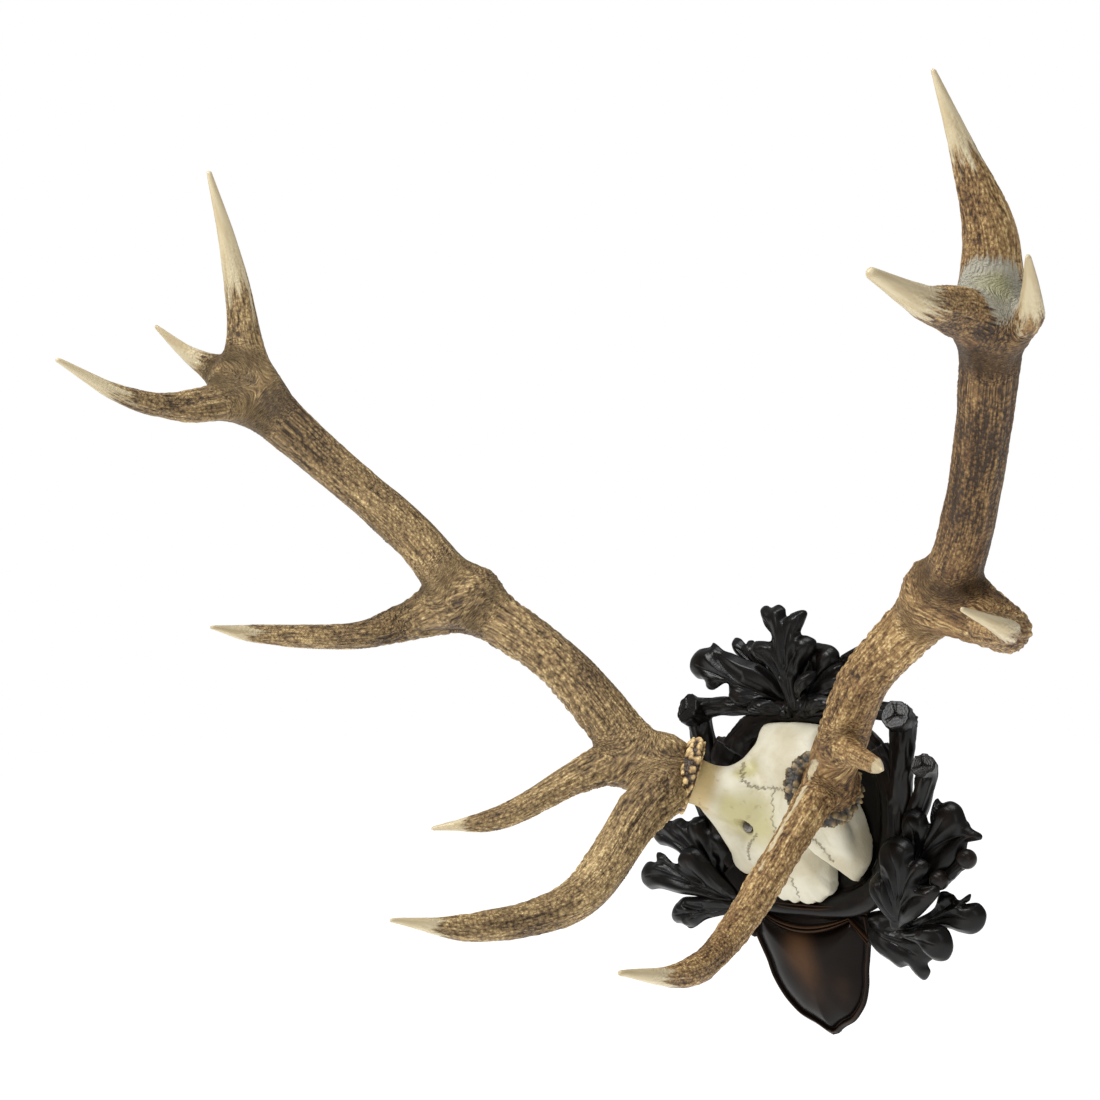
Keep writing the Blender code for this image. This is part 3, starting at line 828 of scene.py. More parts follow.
def left_branches() -> dict[str, Branch]:
    """The viewer's left antler.

    Returns:
        Its beam and its tines by name.
    """
    return {
        "beam": Branch(
            ((0.001, -0.001, 0.002), (0.061, 0.044, 0.038), (0.176, 0.103, 0.188),
             (0.329, 0.153, 0.298), (0.409, 0.202, 0.406), (0.515, 0.305, 0.544),
             (0.601, 0.398, 0.665)), (1.25, 1.20, 1.04, 1.10, 0.99, 0.98, 1.20), 0.0, 1.0),
        "top": Branch(
            ((0.589, 0.385, 0.648), (0.589, 0.398, 0.787), (0.580, 0.430, 0.894),
             (0.568, 0.475, 1.000)), (1.14, 0.66, 0.40, 0.12), 0.092, 0.25),
        "small": Branch(
            ((0.584, 0.379, 0.643), (0.646, 0.404, 0.685), (0.681, 0.437, 0.717),
             (0.706, 0.479, 0.760)), (1.05, 0.66, 0.36, 0.10), 0.045, 0.3),
        "front": Branch(
            ((0.584, 0.379, 0.642), (0.613, 0.505, 0.626), (0.630, 0.614, 0.642),
             (0.648, 0.733, 0.700)), (1.05, 0.64, 0.44, 0.12), 0.055, 0.3),
        "trez": Branch(
            ((0.329, 0.153, 0.298), (0.446, 0.185, 0.261), (0.487, 0.265, 0.243),
             (0.586, 0.381, 0.250), (0.591, 0.483, 0.267)), (1.50, 0.86, 0.62, 0.42, 0.10),
            0.042, 0.7),
        "bez": Branch(
            ((0.031, 0.023, 0.019), (0.108, 0.095, 0.022), (0.222, 0.206, -0.051),
             (0.307, 0.278, -0.067)), (1.45, 0.80, 0.52, 0.10), 0.026, 0.8),
        "brow": Branch(
            ((0.012, 0.007, 0.009), (0.003, 0.122, -0.046), (0.017, 0.262, -0.163),
             (0.065, 0.429, -0.189), (0.091, 0.593, -0.159)), (1.30, 1.04, 0.84, 0.60, 0.10),
            0.040, 0.9),
    }


def right_branches() -> dict[str, Branch]:
    """The viewer's right antler.

    Returns:
        Its beam and its tines by name.
    """
    return {
        "beam": Branch(
            ((-0.012, -0.009, -0.006), (0.067, 0.049, 0.070), (0.171, 0.115, 0.181),
             (0.326, 0.147, 0.304), (0.420, 0.218, 0.391), (0.515, 0.304, 0.541),
             (0.587, 0.386, 0.677)), (0.96, 0.98, 1.00, 1.08, 1.02, 1.02, 1.14), 0.0, 1.0),
        "top": Branch(
            ((0.587, 0.386, 0.676), (0.593, 0.397, 0.790), (0.580, 0.431, 0.895),
             (0.567, 0.475, 1.000)), (1.22, 1.00, 0.50, 0.10), 0.055, 0.2),
        "small": Branch(
            ((0.587, 0.385, 0.675), (0.650, 0.399, 0.675), (0.681, 0.437, 0.708),
             (0.705, 0.478, 0.747)), (0.95, 0.56, 0.34, 0.12), 0.050, 0.2),
        "front": Branch(
            ((0.586, 0.386, 0.673), (0.606, 0.506, 0.687), (0.637, 0.615, 0.692),
             (0.646, 0.735, 0.723)), (1.20, 0.84, 0.58, 0.22), 0.064, 0.2),
        "trez": Branch(
            ((0.327, 0.147, 0.303), (0.456, 0.170, 0.254), (0.485, 0.280, 0.266),
             (0.586, 0.368, 0.265), (0.593, 0.485, 0.300)), (1.50, 0.86, 0.62, 0.42, 0.10),
            0.060, 0.7),
        "bez": Branch(
            ((0.051, 0.036, 0.056), (0.128, 0.113, 0.067), (0.224, 0.184, 0.058),
             (0.302, 0.269, 0.061)), (0.85, 0.50, 0.36, 0.09), 0.038, 0.5),
        "brow": Branch(
            ((0.000, 0.002, 0.008), (0.031, 0.123, -0.060), (0.021, 0.270, -0.193),
             (0.065, 0.431, -0.226), (0.087, 0.600, -0.199)), (0.86, 0.70, 0.61, 0.50, 0.12),
            0.055, 0.8),
    }


@dataclass
class Antler:
    """One antler: a beam with tines, grown together, furrowed and pearled.

    Web is how widely the limbs grow together. Dusk is how much duller the upper beam and the base
    are, and palm and strip are how strongly this antler has these two marks.
    """

    side: Side
    branches: dict[str, Branch]
    reach: float = 0.5846
    beam_diameter: float = 0.042
    burr_diameter: float = 0.070
    burr_spacing: float = 0.160
    burr_standoff: float = 0.120
    burr_height: float = 0.022
    web: float = 0.0055
    voxel: float = 0.0019
    gutter_depth: float = 0.0016
    furrow_depth: float = 0.0010
    pearl_height: float = 0.0019
    lump_height: float = 0.0020
    burr_thickness: float = 0.017
    bead_size: float = 0.0066
    small_bead_size: float = 0.0034
    dusk: float = 0.0
    palm: float = 0.0
    palm_at: Triple = (0.010, -0.020, 0.018)
    palm_size: float = 0.030
    strip: float = 0.0
    strip_at: Triple = (0.069, -0.160, 0.0004)
    strip_across: Triple = (0.724, 0.491, -0.484)
    strip_span: tuple[float, float] = (-0.060, 0.046)
    base_flare: float = 0.70
    ring_scale: float = 1.08
    beam_shift: Triple = (0.0, 0.0, 0.0)
    limbs: list[Limb] = field(default_factory=list)

    def __post_init__(self) -> None:
        """Lay the limbs out from the burr."""
        self.middle = np.array([self.side.value * self.burr_spacing / 2, -self.burr_standoff,
                                self.burr_height])
        for number, branch in enumerate(self.branches.values()):
            points = self.middle + np.asarray(branch.points) * self.reach * self.mirror
            radii = np.maximum(branch.widths, 0.08) * self.beam_diameter / 2
            limb = Limb.through(points, radii, 0.006, branch.polish, 40 * number + 3)
            past = (limb.path - self.seat) @ self.axis
            limb.radii *= self.base_flare + (1 - self.base_flare) * smoothstep(0.004, 0.026, past)
            near = 1 - smoothstep(0.0, 0.05, np.linalg.norm(limb.path - self.root, axis=1))
            limb.path = limb.path + np.array(self.beam_shift) * near[:, None]
            self.limbs.append(limb)

    @property
    def mirror(self) -> Array:
        """What turns outwards, forwards and up into this side's directions."""
        return np.array([self.side.value, -1, 1])

    @property
    def root(self) -> Array:
        """The middle of the burr that this antler has."""
        return self.middle + np.array(self.branches["beam"].points[0]) * self.reach * self.mirror

    @property
    def seat(self) -> Array:
        """The middle of the beaded ring, a little further out than the beam's root."""
        return self.root + self.axis * 0.0030

    @property
    def axis(self) -> Array:
        """The direction in which the antler leaves its burr."""
        return unit(np.array([self.side.value * 0.70, -0.62, 0.34]))

    def distances(self, points: Array) -> tuple[Array, Array, list[Array]]:
        """How far points are from the grown-together surface.

        Args:
            points: one point a row.

        Returns:
            The smooth least distance, minus web times the log of the sum of the exponentials of
            minus each distance over web; each limb's share in it; and the places on the limbs.
        """
        found = [limb.locate(points) for limb in self.limbs]
        away = np.stack([distance for distance, _ in found], axis=-1)
        least = away.min(axis=1, keepdims=True)
        power = np.exp(-(away - least) / self.web)
        total = power.sum(axis=1)
        clear = smoothstep(0.004, 0.040, (points - self.root) @ self.axis)
        union = least[:, 0] - self.web * np.log(total) * (0.25 + 0.75 * clear)
        return union, power / total[:, None], [place for _, place in found]

    def relief(self, shares: Array, places: list[Array]) -> dict[str, Array]:
        """Furrows and pearls.

        Args:
            shares: each limb's share at the vertices.
            places: the vertices in each limb's own coordinates.

        Returns:
            The height in metres, and what the material reads: relief and ivory from 0 to 1, and
            grain, the coordinates that run with the limb.
        """
        count = len(shares)
        out = {"height": np.zeros(count), "relief": np.zeros(count), "ivory": np.zeros(count),
               "grain": np.zeros((count, 3))}
        for limb, branch, share, place in zip(self.limbs, self.branches.values(), shares.T, places):
            near = share > 0.01
            q, s = place[near], place[near][:, 2]
            left = limb.length - s
            tip = 1 - smoothstep(limb.polish * 0.20, limb.polish * 2.0, left) if limb.polish else 0 * s
            gutters = creases(q * (1, 1, 0.09), 0.013, limb.seed, 2.0)
            furrows = creases(q * (1, 1, 0.09), 0.0042, limb.seed + 5, 2.2)
            lumps = noise(q, 0.035, limb.seed + 9) - 0.5
            ground = fractal(q * (1, 1, 0.5), 0.030, limb.seed + 11, 2)
            where = branch.pearls * (1 - smoothstep(0.30, 0.75, s / limb.length) * 0.8)
            where = where * smoothstep(0.34, 0.52, ground)
            pearls = beads(q * (1, 1, 0.72), 0.0058, limb.seed + 13) ** 0.8 * where
            rough = 1 - tip * 0.97
            height = ((gutters - 0.45) * self.gutter_depth + (furrows - 0.45) * self.furrow_depth
                      + pearls * self.pearl_height + lumps * self.lump_height) * rough
            relief = np.clip(0.36 + (gutters - 0.5) * 0.26 + (furrows - 0.5) * 0.50
                             + pearls * 0.70, 0, 1)
            weight = share[near]
            out["height"][near] += weight * height
            out["relief"][near] += weight * relief
            out["ivory"][near] += weight * tip
            out["grain"][near] += weight[:, None] * q
        return out

    def skin(self) -> Skin:
        """The antler's surface.

        Returns:
            The limbs' tubes skinned over, pulled onto the smooth union and then carved.
        """
        skin = Skin.joined([limb.skin(18) for limb in self.limbs]).skinned_over(self.voxel)
        for _ in range(3):
            away, _, _ = self.distances(skin.vertices)
            skin.vertices = skin.vertices - skin.normals() * np.clip(away, -0.006, 0.004)[:, None]
            skin.relax(np.full(len(skin.vertices), 0.7), 1)
        _, shares, places = self.distances(skin.vertices)
        out = self.relief(shares, places)
        self.mark(skin, out)
        skin.vertices = skin.vertices + skin.normals() * out.pop("height")[:, None]
        skin.values = out
        return skin

    def mark(self, skin: Skin, out: dict[str, Array]) -> None:
        """Add what one antler has and the other has not.

        The palm is a smooth patch in the fork of the crown. The upper beam and the base are duller
        by dusk. The strip is rubbed pale where the front of the surface meets a plane: e to the
        power of minus the squared distance to the plane over the strip's squared width.

        Args:
            skin: the surface before it is carved.
            out: what relief gives; the palm is added, and height, relief and ivory are changed.
        """
        points, crown = skin.vertices, self.limbs[0].path[-1]
        near = np.linalg.norm(points - crown - self.palm_at, axis=1)
        out["palm"] = self.palm * np.exp(-((near / self.palm_size) ** 4))
        out["height"] = out["height"] * (1 - 0.9 * out["palm"])
        over = points[:, 2] - crown[2]
        upper = smoothstep(0.18, 0.30, points[:, 2]) * (1 - smoothstep(-0.04, 0.02, over))
        above = smoothstep(0.0, 0.04, over)
        from_root = np.linalg.norm(points - self.root, axis=1)
        base = 1 - smoothstep(0.034, 0.062, from_root)
        out["relief"] = out["relief"] - self.dusk * (upper + base) + 0.30 * self.palm * above
        away = (points - np.array(self.strip_at)) @ unit(np.array(self.strip_across))
        low, high = self.strip_span
        wide = 0.0020 + 0.0016 * smoothstep(0.0, high, points[:, 2])
        line = bell(away, wide) * smoothstep(0.2, 0.5, -skin.normals()[:, 1])
        line = line * smoothstep(low, low + 0.02, points[:, 2])
        line = line * (1 - smoothstep(high, high + 0.008, points[:, 2]))
        line = line * (from_root < 0.16)
        line = line * (0.55 + 0.9 * smoothstep(0.30, 0.62, fractal(points, 0.007, 91, 2)))
        out["ivory"] = np.maximum(out["ivory"], self.strip * line)
        out["height"] = out["height"] * (1 - 0.5 * self.strip * line)

    def burr(self) -> Skin:
        """The beaded ring round the base.

        Returns:
            A section carried round the antler's axis, then swollen by random beads.
        """
        half, ring = self.burr_thickness / 2, self.burr_diameter / 2 * self.ring_scale
        section = catmull_rom(np.array([
            (-half * 0.9, ring * 0.50), (-half, ring * 0.74), (-half * 0.8, ring * 0.90),
            (-half * 0.1, ring * 0.955), (half * 0.6, ring * 0.88), (half, ring * 0.74),
            (half * 0.9, ring * 0.55)]), 46)
        side = unit(np.cross(self.axis, (0, 0, 1)))
        other = np.cross(self.axis, side)
        angle = full_turn(300)
        out = np.cos(angle)[:, None] * side + np.sin(angle)[:, None] * other
        rings = (self.seat + section[:, 0][:, None, None] * self.axis
                 + section[:, 1][:, None, None] * out[None])
        flat = rings.reshape(-1, 3)
        seed = 7 if self.side is Side.LEFT else 23
        bead = beads(flat, self.bead_size, seed, 0.38) ** 0.7
        small = beads(flat, self.small_bead_size, seed + 4, 0.40)
        reach = smoothstep(ring * 0.60, ring * 0.88, np.repeat(section[:, 1], 300))
        swell = (bead * 0.0038 + small * 0.0018 - 0.0020) * reach
        skin = Skin.lofted((flat + swell[:, None] * unit(flat - self.seat)).reshape(rings.shape))
        skin.values = {"relief": np.concatenate([np.clip(bead * 0.8 + small * 0.25, 0, 1), [0, 0]])}
        return skin


# Skull cap


@dataclass
class SkullCap:
    """The cut skull cap with its two pedicles, a low dome with a broken lower edge.

    Its outline has shares of half the width, of the height and of the standoff. A greenish stain
    is its middle and its two half widths. The back follows the board with a small gap.
    """

    board: "Board"
    width: float = 0.158
    height: float = 0.170
    middle_z: float = -0.010
    standoff: float = 0.097
    floor: float = 0.0463
    gap: float = 0.0006
    stalk_radius: float = 0.0195
    voxel: float = 0.0013
    stains: tuple[Pairs, ...] = (((-0.026, -0.014), (0.034, 0.030)),
                                 ((-0.030, 0.030), (0.012, 0.010)))
    outline: Points = (
        (0.00, 0.482, 0.66), (0.22, 0.480, 0.66), (0.42, 0.465, 0.66), (0.48, 0.400, 0.68),
        (0.56, 0.290, 0.70), (0.66, 0.170, 0.70), (0.80, 0.060, 0.69), (0.90, -0.030, 0.68),
        (0.97, -0.140, 0.66), (1.00, -0.245, 0.64), (0.91, -0.316, 0.64), (0.80, -0.376, 0.63),
        (0.73, -0.345, 0.63), (0.62, -0.285, 0.63), (0.500, -0.215, 0.63), (0.47, -0.300, 0.62),
        (0.47, -0.385, 0.62), (0.46, -0.440, 0.62), (0.38, -0.472, 0.62), (0.27, -0.502, 0.63),
        (0.00, -0.508, 0.63), (-0.27, -0.497, 0.63), (-0.50, -0.460, 0.63),
        (-0.64, -0.392, 0.63), (-0.79, -0.380, 0.62), (-0.97, -0.335, 0.64),
        (-1.01, -0.235, 0.64), (-0.97, -0.120, 0.66), (-0.91, -0.030, 0.68),
        (-0.80, 0.060, 0.69), (-0.66, 0.170, 0.70), (-0.56, 0.290, 0.70), (-0.48, 0.400, 0.68),
        (-0.42, 0.465, 0.66), (-0.22, 0.480, 0.66))
    sutures: tuple[Pairs, ...] = (
        ((-0.040, 0.036), (-0.036, 0.031), (-0.023, 0.017), (-0.010, 0.013), (0.001, 0.014)),
        ((0.040, 0.036), (0.036, 0.031), (0.023, 0.017), (0.010, 0.013), (0.001, 0.014)),
        ((0.001, 0.014), (0.0, -0.021), (0.001, -0.045), (0.004, -0.070), (0.004, -0.092)),
        ((0.022, -0.022), (0.037, -0.030), (0.046, -0.039), (0.053, -0.054)),
        ((-0.022, -0.030), (-0.034, -0.040), (-0.041, -0.047), (-0.045, -0.058)))

    def edge(self) -> Array:
        """The outline with more points on it, and a jagged break along its lower edge.

        Returns:
            Shares of half the width, shares of the height and shares of the standoff.
        """
        given = np.asarray(self.outline)
        closed = np.vstack([given[-1:], given, given[:2]])
        smooth = catmull_rom(closed, 12 * (len(closed) - 1) + 1)[12:-24]
        place = np.c_[smooth[:, 0] * self.width / 2, smooth[:, 1] * self.height, np.zeros(len(smooth))]
        low = smoothstep(-0.30, -0.40, smooth[:, 1])
        chips = (fractal(place, 0.0050, 5, 3) - 0.5) * 0.085 * low
        return smooth + np.c_[smooth[:, 0] * chips, smooth[:, 1] * chips, 0 * chips]

    def front(self, share: Array, edge: Array) -> Array:
        """The face of the bone.

        Args:
            share: 0 in the middle to 1 at the edge, one a ring.
            edge: the outline.

        Returns:
            Points whose height over the edge is (1 minus share to a power) to a power: full on
            the forehead at the top and sharper towards the nose.
        """
        x, z, standoff = edge.T
        upness = (z / 0.5 + 1) / 2
        s = share[:, None]
        rise = np.clip(1 - s ** (1.9 + 0.7 * upness), 0, 1) ** (1.0 - 0.2 * upness)
        depth = self.standoff * (standoff + (1 - standoff) * rise)
        return np.stack([s * x * self.width / 2, -depth, self.middle_z + s * z * self.height], -1)

    def behind(self, x: Array, z: Array) -> Array:
        """How far the board behind the skull stands off the wall.

        Args:
            x: places across.
            z: places up.

        Returns:
            The rim's standoff by the inset from its squared-off ellipse, down to the dish's floor.
        """
        board = self.board
        power = board.squareness
        across = np.abs(x) / (board.width / 2)
        up = np.abs(z - board.middle_z) / (board.height / 2)
        inset = (1 - (across**power + up**power) ** (1 / power)) * board.height / 2
        inner = np.array(board.section[4:]) * board.crest
        return np.interp(inset, np.append(inner[:, 0], board.crest * 0.54),
                         np.append(inner[:, 1], self.floor))

    def plate(self) -> Skin:
        """Forehead and braincase.

        Returns:
            Rings from the middle out, round the edge and back in. Away from the edge their outline
            is smoothed, which keeps the notch and the chips near the edge.
        """
        edge = self.edge()
        share = np.linspace(0.04, 0.985, 44) ** 0.9
        calm = edge.copy()
        for _ in range(60):
            calm = (np.roll(calm, 1, axis=0) + 2 * calm + np.roll(calm, -1, axis=0)) / 4
        outer = smoothstep(0.74, 0.98, share)[:, None, None]
        face = self.front(share, edge) * outer + self.front(share, calm) * (1 - outer)
        rim = self.front(np.array([1.0]), edge)[0]
        back = []
        for inwards in (1.0, 0.9, 0.75, 0.5, 0.2):
            x = rim[:, 0] * inwards
            z = self.middle_z + (rim[:, 2] - self.middle_z) * inwards
            gap = 2 * self.gap if inwards == 1 else self.gap
            back.append(np.stack([x, -self.behind(x, z) - gap, z], -1))
        turn = rim.copy()
        turn[:, 1] = rim[:, 1] * 0.35 + back[0][:, 1] * 0.65
        rings = np.concatenate([face, [rim + (0, 0.0008, 0), turn], back])
        return Skin.lofted(rings, (0, -self.standoff, self.middle_z),
                           (0, -self.floor - self.gap, self.middle_z))

    def pedicle(self, antler: Antler) -> list[Limb]:
        """The bone under a burr.

        Args:
            antler: the antler that grows on it.

        Returns:
            The stalk, the ridge from it down to the eye socket, and the web up to the forehead.
        """
        side, half, middle = antler.side.value, self.width / 2, antler.root
        root = np.array([side * half * 0.30, -self.standoff * 0.76, antler.burr_height - 0.026])
        waist = middle - antler.axis * 0.022 - (0, 0, 0.003)
        stalk = Limb.through([root, root * 0.45 + waist * 0.55, waist, middle - (0, 0, 0.002)],
                             np.array([1.5, 1.42, 1.10, 1.12]) * self.stalk_radius, 0.004)
        ridge = Limb.through([
            (side * 0.068, -0.101, 0.000), (side * 0.064, -0.089, -0.016),
            (side * 0.064, -0.077, -0.034), (side * 0.066, -0.064, -0.054)],
            (0.015, 0.0135, 0.0115, 0.008), 0.004)
        web = Limb.through([
            (side * half * 0.34, -self.standoff * 0.80, self.middle_z + 0.058),
            (side * half * 0.52, -self.standoff * 0.80, self.middle_z + 0.036),
            (side * half * 0.80, -self.standoff * 0.86, self.middle_z + 0.030)],
            (0.008, 0.014, 0.010), 0.004)
        return [stalk, ridge, web]

    def seam_distance(self, flat: Array) -> Array:
        """How far places are from the nearest suture.

        Args:
            flat: places across and up.

        Returns:
            The distance to curves that zigzag by the sum of two sines, at most 20 mm.
        """
        away = np.full(len(flat), 0.02)
        steps = np.arange(60)
        for number, line in enumerate(self.sutures):
            path = catmull_rom(np.asarray(line), len(steps))
            turns = 0.0017 if number == 2 else 0.0010
            zigzag = (np.sin(steps * 2.1 + number) + 0.8 * np.sin(steps * 0.83 + 2 * number)) * turns
            across = unit(np.gradient(path, axis=0))[:, ::-1] * (1, -1)
            away = np.minimum(away, line_distance(flat, path + across * zigzag[:, None]))
        return away

    def skin(self, antlers: list[Antler], seats: list[Array]) -> Skin:
        """The bone as one surface, softened where the pedicles grow out of it.

        Args:
            antlers: the antlers that it carries.
            seats: where the undersides of the screws' heads rest.

        Returns:
            The skin, with the distance to the nearest suture, how tan and green the bone is, and the
            painted shadow round each screw head.
        """
        limbs = [self.pedicle(antler) for antler in antlers]
        parts = [self.plate()] + [limb.skin(28) for group in limbs for limb in group]
        skin = Skin.joined(parts).skinned_over(self.voxel)
        skin.relax(np.full(len(skin.vertices), 0.6), 1)
        points = skin.vertices
        joint = np.zeros(len(points))
        tan = joint.copy()
        for stalk, ridge, web in limbs:
            away, place = stalk.locate(points)
            away, along = np.maximum(away, 0), place[:, 2] / stalk.length
            joint = np.maximum(joint, bell(away, 0.011) * (1 - smoothstep(0.55, 0.85, along)))
            tan = np.maximum(tan, bell(away, 0.006) * smoothstep(0.40, 0.85, along))
            for limb, fade in ((ridge, 0.014), (web, 0.012)):
                away, _ = limb.locate(points)
                joint = np.maximum(joint, bell(np.maximum(away, 0), fade))
        facing = smoothstep(-0.052, -0.060, points[:, 1])
        skin.relax(joint * facing, 80)
        points = skin.vertices
        flat = points[:, [0, 2]]
        away = self.seam_distance(flat)
        pit = np.zeros(len(points))
        for seat in seats:
            gap = np.linalg.norm(flat - seat[[0, 2]], axis=1)
            inside = 1 - smoothstep(0.0066, 0.0092, gap)
            level = np.maximum(points[:, 1], seat[1] - 0.0006)
            points[:, 1] = np.where(facing > 0, points[:, 1] * (1 - inside) + level * inside,
                                    points[:, 1])
            # Painted shadow: a dark ring just outside each screw head, in the recess that it sits in.
            pit = np.maximum(pit, (1 - smoothstep(0.0060, 0.0074, gap)) * facing)
        green = np.max([bell(np.linalg.norm((flat - middle) / size, axis=1), 1.0)
                        for middle, size in self.stains], axis=0)
        uneven = (fractal(points, 0.016, 31, 3) - 0.5) * 0.0012 * facing
        groove = bell(away, 0.0011) * 0.0005 * facing
        skin.vertices = points + skin.normals() * (uneven - groove)[:, None]
        skin.values = {"suture": away, "tan": tan, "green": green * facing, "pit": pit}
        return skin


@dataclass
class Screw:
    """A round-head steel screw."""

    side: Side
    head_diameter: float = 0.0115
    head_height: float = 0.0035
    shank_diameter: float = 0.0045
    length: float = 0.060
    spacing: float = 0.068
    z: float = -0.024
    seat_y: float = -0.089665

    @property
    def seat(self) -> Array:
        """Where the underside of the head rests."""
        return np.array([self.side.value * self.spacing / 2, self.seat_y, self.z])

    def skin(self) -> Skin:
        """Shank and domed head.

        Returns:
            A profile turned round the screw's axis.
        """
        head, shank = self.head_diameter / 2, self.shank_diameter / 2
        dome = np.linspace(0, pi / 2, 14)[:-1]
        profile = np.array([(-self.length, shank * 0.3), (-self.length + 0.006, shank),
                            (0.0, shank), (0.0, head * 0.97), (0.0004, head)]
                           + [(0.0006 + (self.head_height - 0.0006) * sin(t), head * cos(t) ** 0.8)
                              for t in dome[1:]])
        angle = full_turn(48)
        rings = self.seat + np.stack([
            profile[:, 1:] * np.cos(angle), -profile[:, :1] + 0 * angle,
            profile[:, 1:] * np.sin(angle)], axis=-1)
        return Skin.lofted(rings)


# Plaque


def from_bottom(angle: Array) -> Array:
    """How far round from the lowest point an angle lies, from 0 to pi on both sides."""
    return np.abs((angle + pi / 2 + pi) % (2 * pi) - pi)


@dataclass
class Board:
    """The round board: a dish inside a rim carved as overlapping lengths of bark.

    The section goes from the wall over the crest to the floor, as inset and standoff in shares of
    the crest. A length of bark goes bark_turn radians round, and one ends bark_end radians from
    the bottom.
    """

    width: float = 0.220
    height: float = 0.194
    middle_z: float = -0.014
    crest: float = 0.055
    floor: float = 0.046
    squareness: float = 2.6
    bark_turn: float = 1.26
    bark_end: float = 2.22
    bark_swell: float = 0.007
    furrow_depth: float = 0.0026
    knot_height: float = 0.0045
    sides: int = 420
    section: Pairs = (
        (0.72, 0.00), (0.38, 0.35), (0.10, 0.66), (0.00, 0.86), (0.07, 1.00), (0.21, 1.01),
        (0.38, 0.92), (0.52, 0.80))

    def point(self, angle: Array, inset: Array, standoff: Array) -> Array:
        """Points of the rim.

        Args:
            angle: round the board, from its right side.
            inset: how far in from the rim's outline.
            standoff: how far off the wall.

        Returns:
            Points on a squared-off ellipse: powers of cosine and sine times what inset leaves.
        """
        power = 2 / self.squareness
        across = (self.width / 2 - inset) * np.abs(np.cos(angle)) ** power * np.sign(np.cos(angle))
        up = (self.height / 2 - inset) * np.abs(np.sin(angle)) ** power * np.sign(np.sin(angle))
        return np.stack([across, -standoff + 0 * across, self.middle_z + up], axis=-1)

    def bark(self, angle: Array) -> Array:
        """From 0 at the root of a length of bark to 1 at its thick end, up both sides."""
        return (from_bottom(angle) - self.bark_end) / self.bark_turn % 1.0

    def skin(self) -> Skin:
        """The board, from its flat back round the rim and over the dish's floor.

        Returns:
            The section carried round the rim and moved out by the bark's swell, furrows and knots,
            then flat rings for the floor.
        """
        angle = np.linspace(-pi / 2, 3 * pi / 2, self.sides, endpoint=False)
        profile = catmull_rom(np.asarray(self.section) * self.crest, 64)
        steps = self.bark(angle)
        inset, standoff = profile[:, 0][:, None], profile[:, 1][:, None]
        inner_face = smoothstep(0.20, 0.34, inset / self.crest)
        inner_face = inner_face * smoothstep(0.85, 0.99, standoff / self.crest)
        outside = smoothstep(0.10, 0.35, standoff / self.crest) * (1 - inner_face)
        ring, turn = np.meshgrid(lengths_along(profile), angle, indexing="ij")
        lengthwise = from_bottom(turn) * 0.105
        where = np.stack([ring.ravel(), lengthwise.ravel() * 0.16,
                          np.sign(np.cos(turn)).ravel() * 0.5], axis=-1)
        furrow = np.clip(creases(where, 0.0052, 61, 2.2, 3), 0, 1).reshape(ring.shape)
        knots = fractal(where * (1, 3, 1), 0.016, 71, 2).reshape(ring.shape) - 0.5
        swell = self.bark_swell * steps[None] * outside
        carved = (furrow - 0.5) * self.furrow_depth + knots * self.knot_height
        carved = carved * smoothstep(0.05, 0.3, standoff / self.crest)
        carved = carved * smoothstep(0.55, 0.95, from_bottom(turn))
        out = swell + carved * outside
        rings = self.point(angle[None], inset - out, standoff + swell * 0.3 + carved * 0.4)
        inner = []
        for share in (0.98, 0.9, 0.75, 0.55, 0.3, 0.1):
            inset_in = (self.height / 2 - profile[-1, 0] - 0.001) * (1 - share)
            inner.append(self.point(angle, profile[-1, 0] + 0.001 + inset_in, self.floor - 0.0003))
        rings = np.concatenate([rings, inner])
        rings[:, :, 1] = np.minimum(rings[:, :, 1], 0.0)
        wear = np.clip(np.vstack([0.25 + 0.5 * furrow * outside, np.zeros((6, self.sides))]), 0, 1)
        return Skin.lofted(rings, (0, 0, self.middle_z), (0, -self.floor, self.middle_z),
                           {"wear": wear})


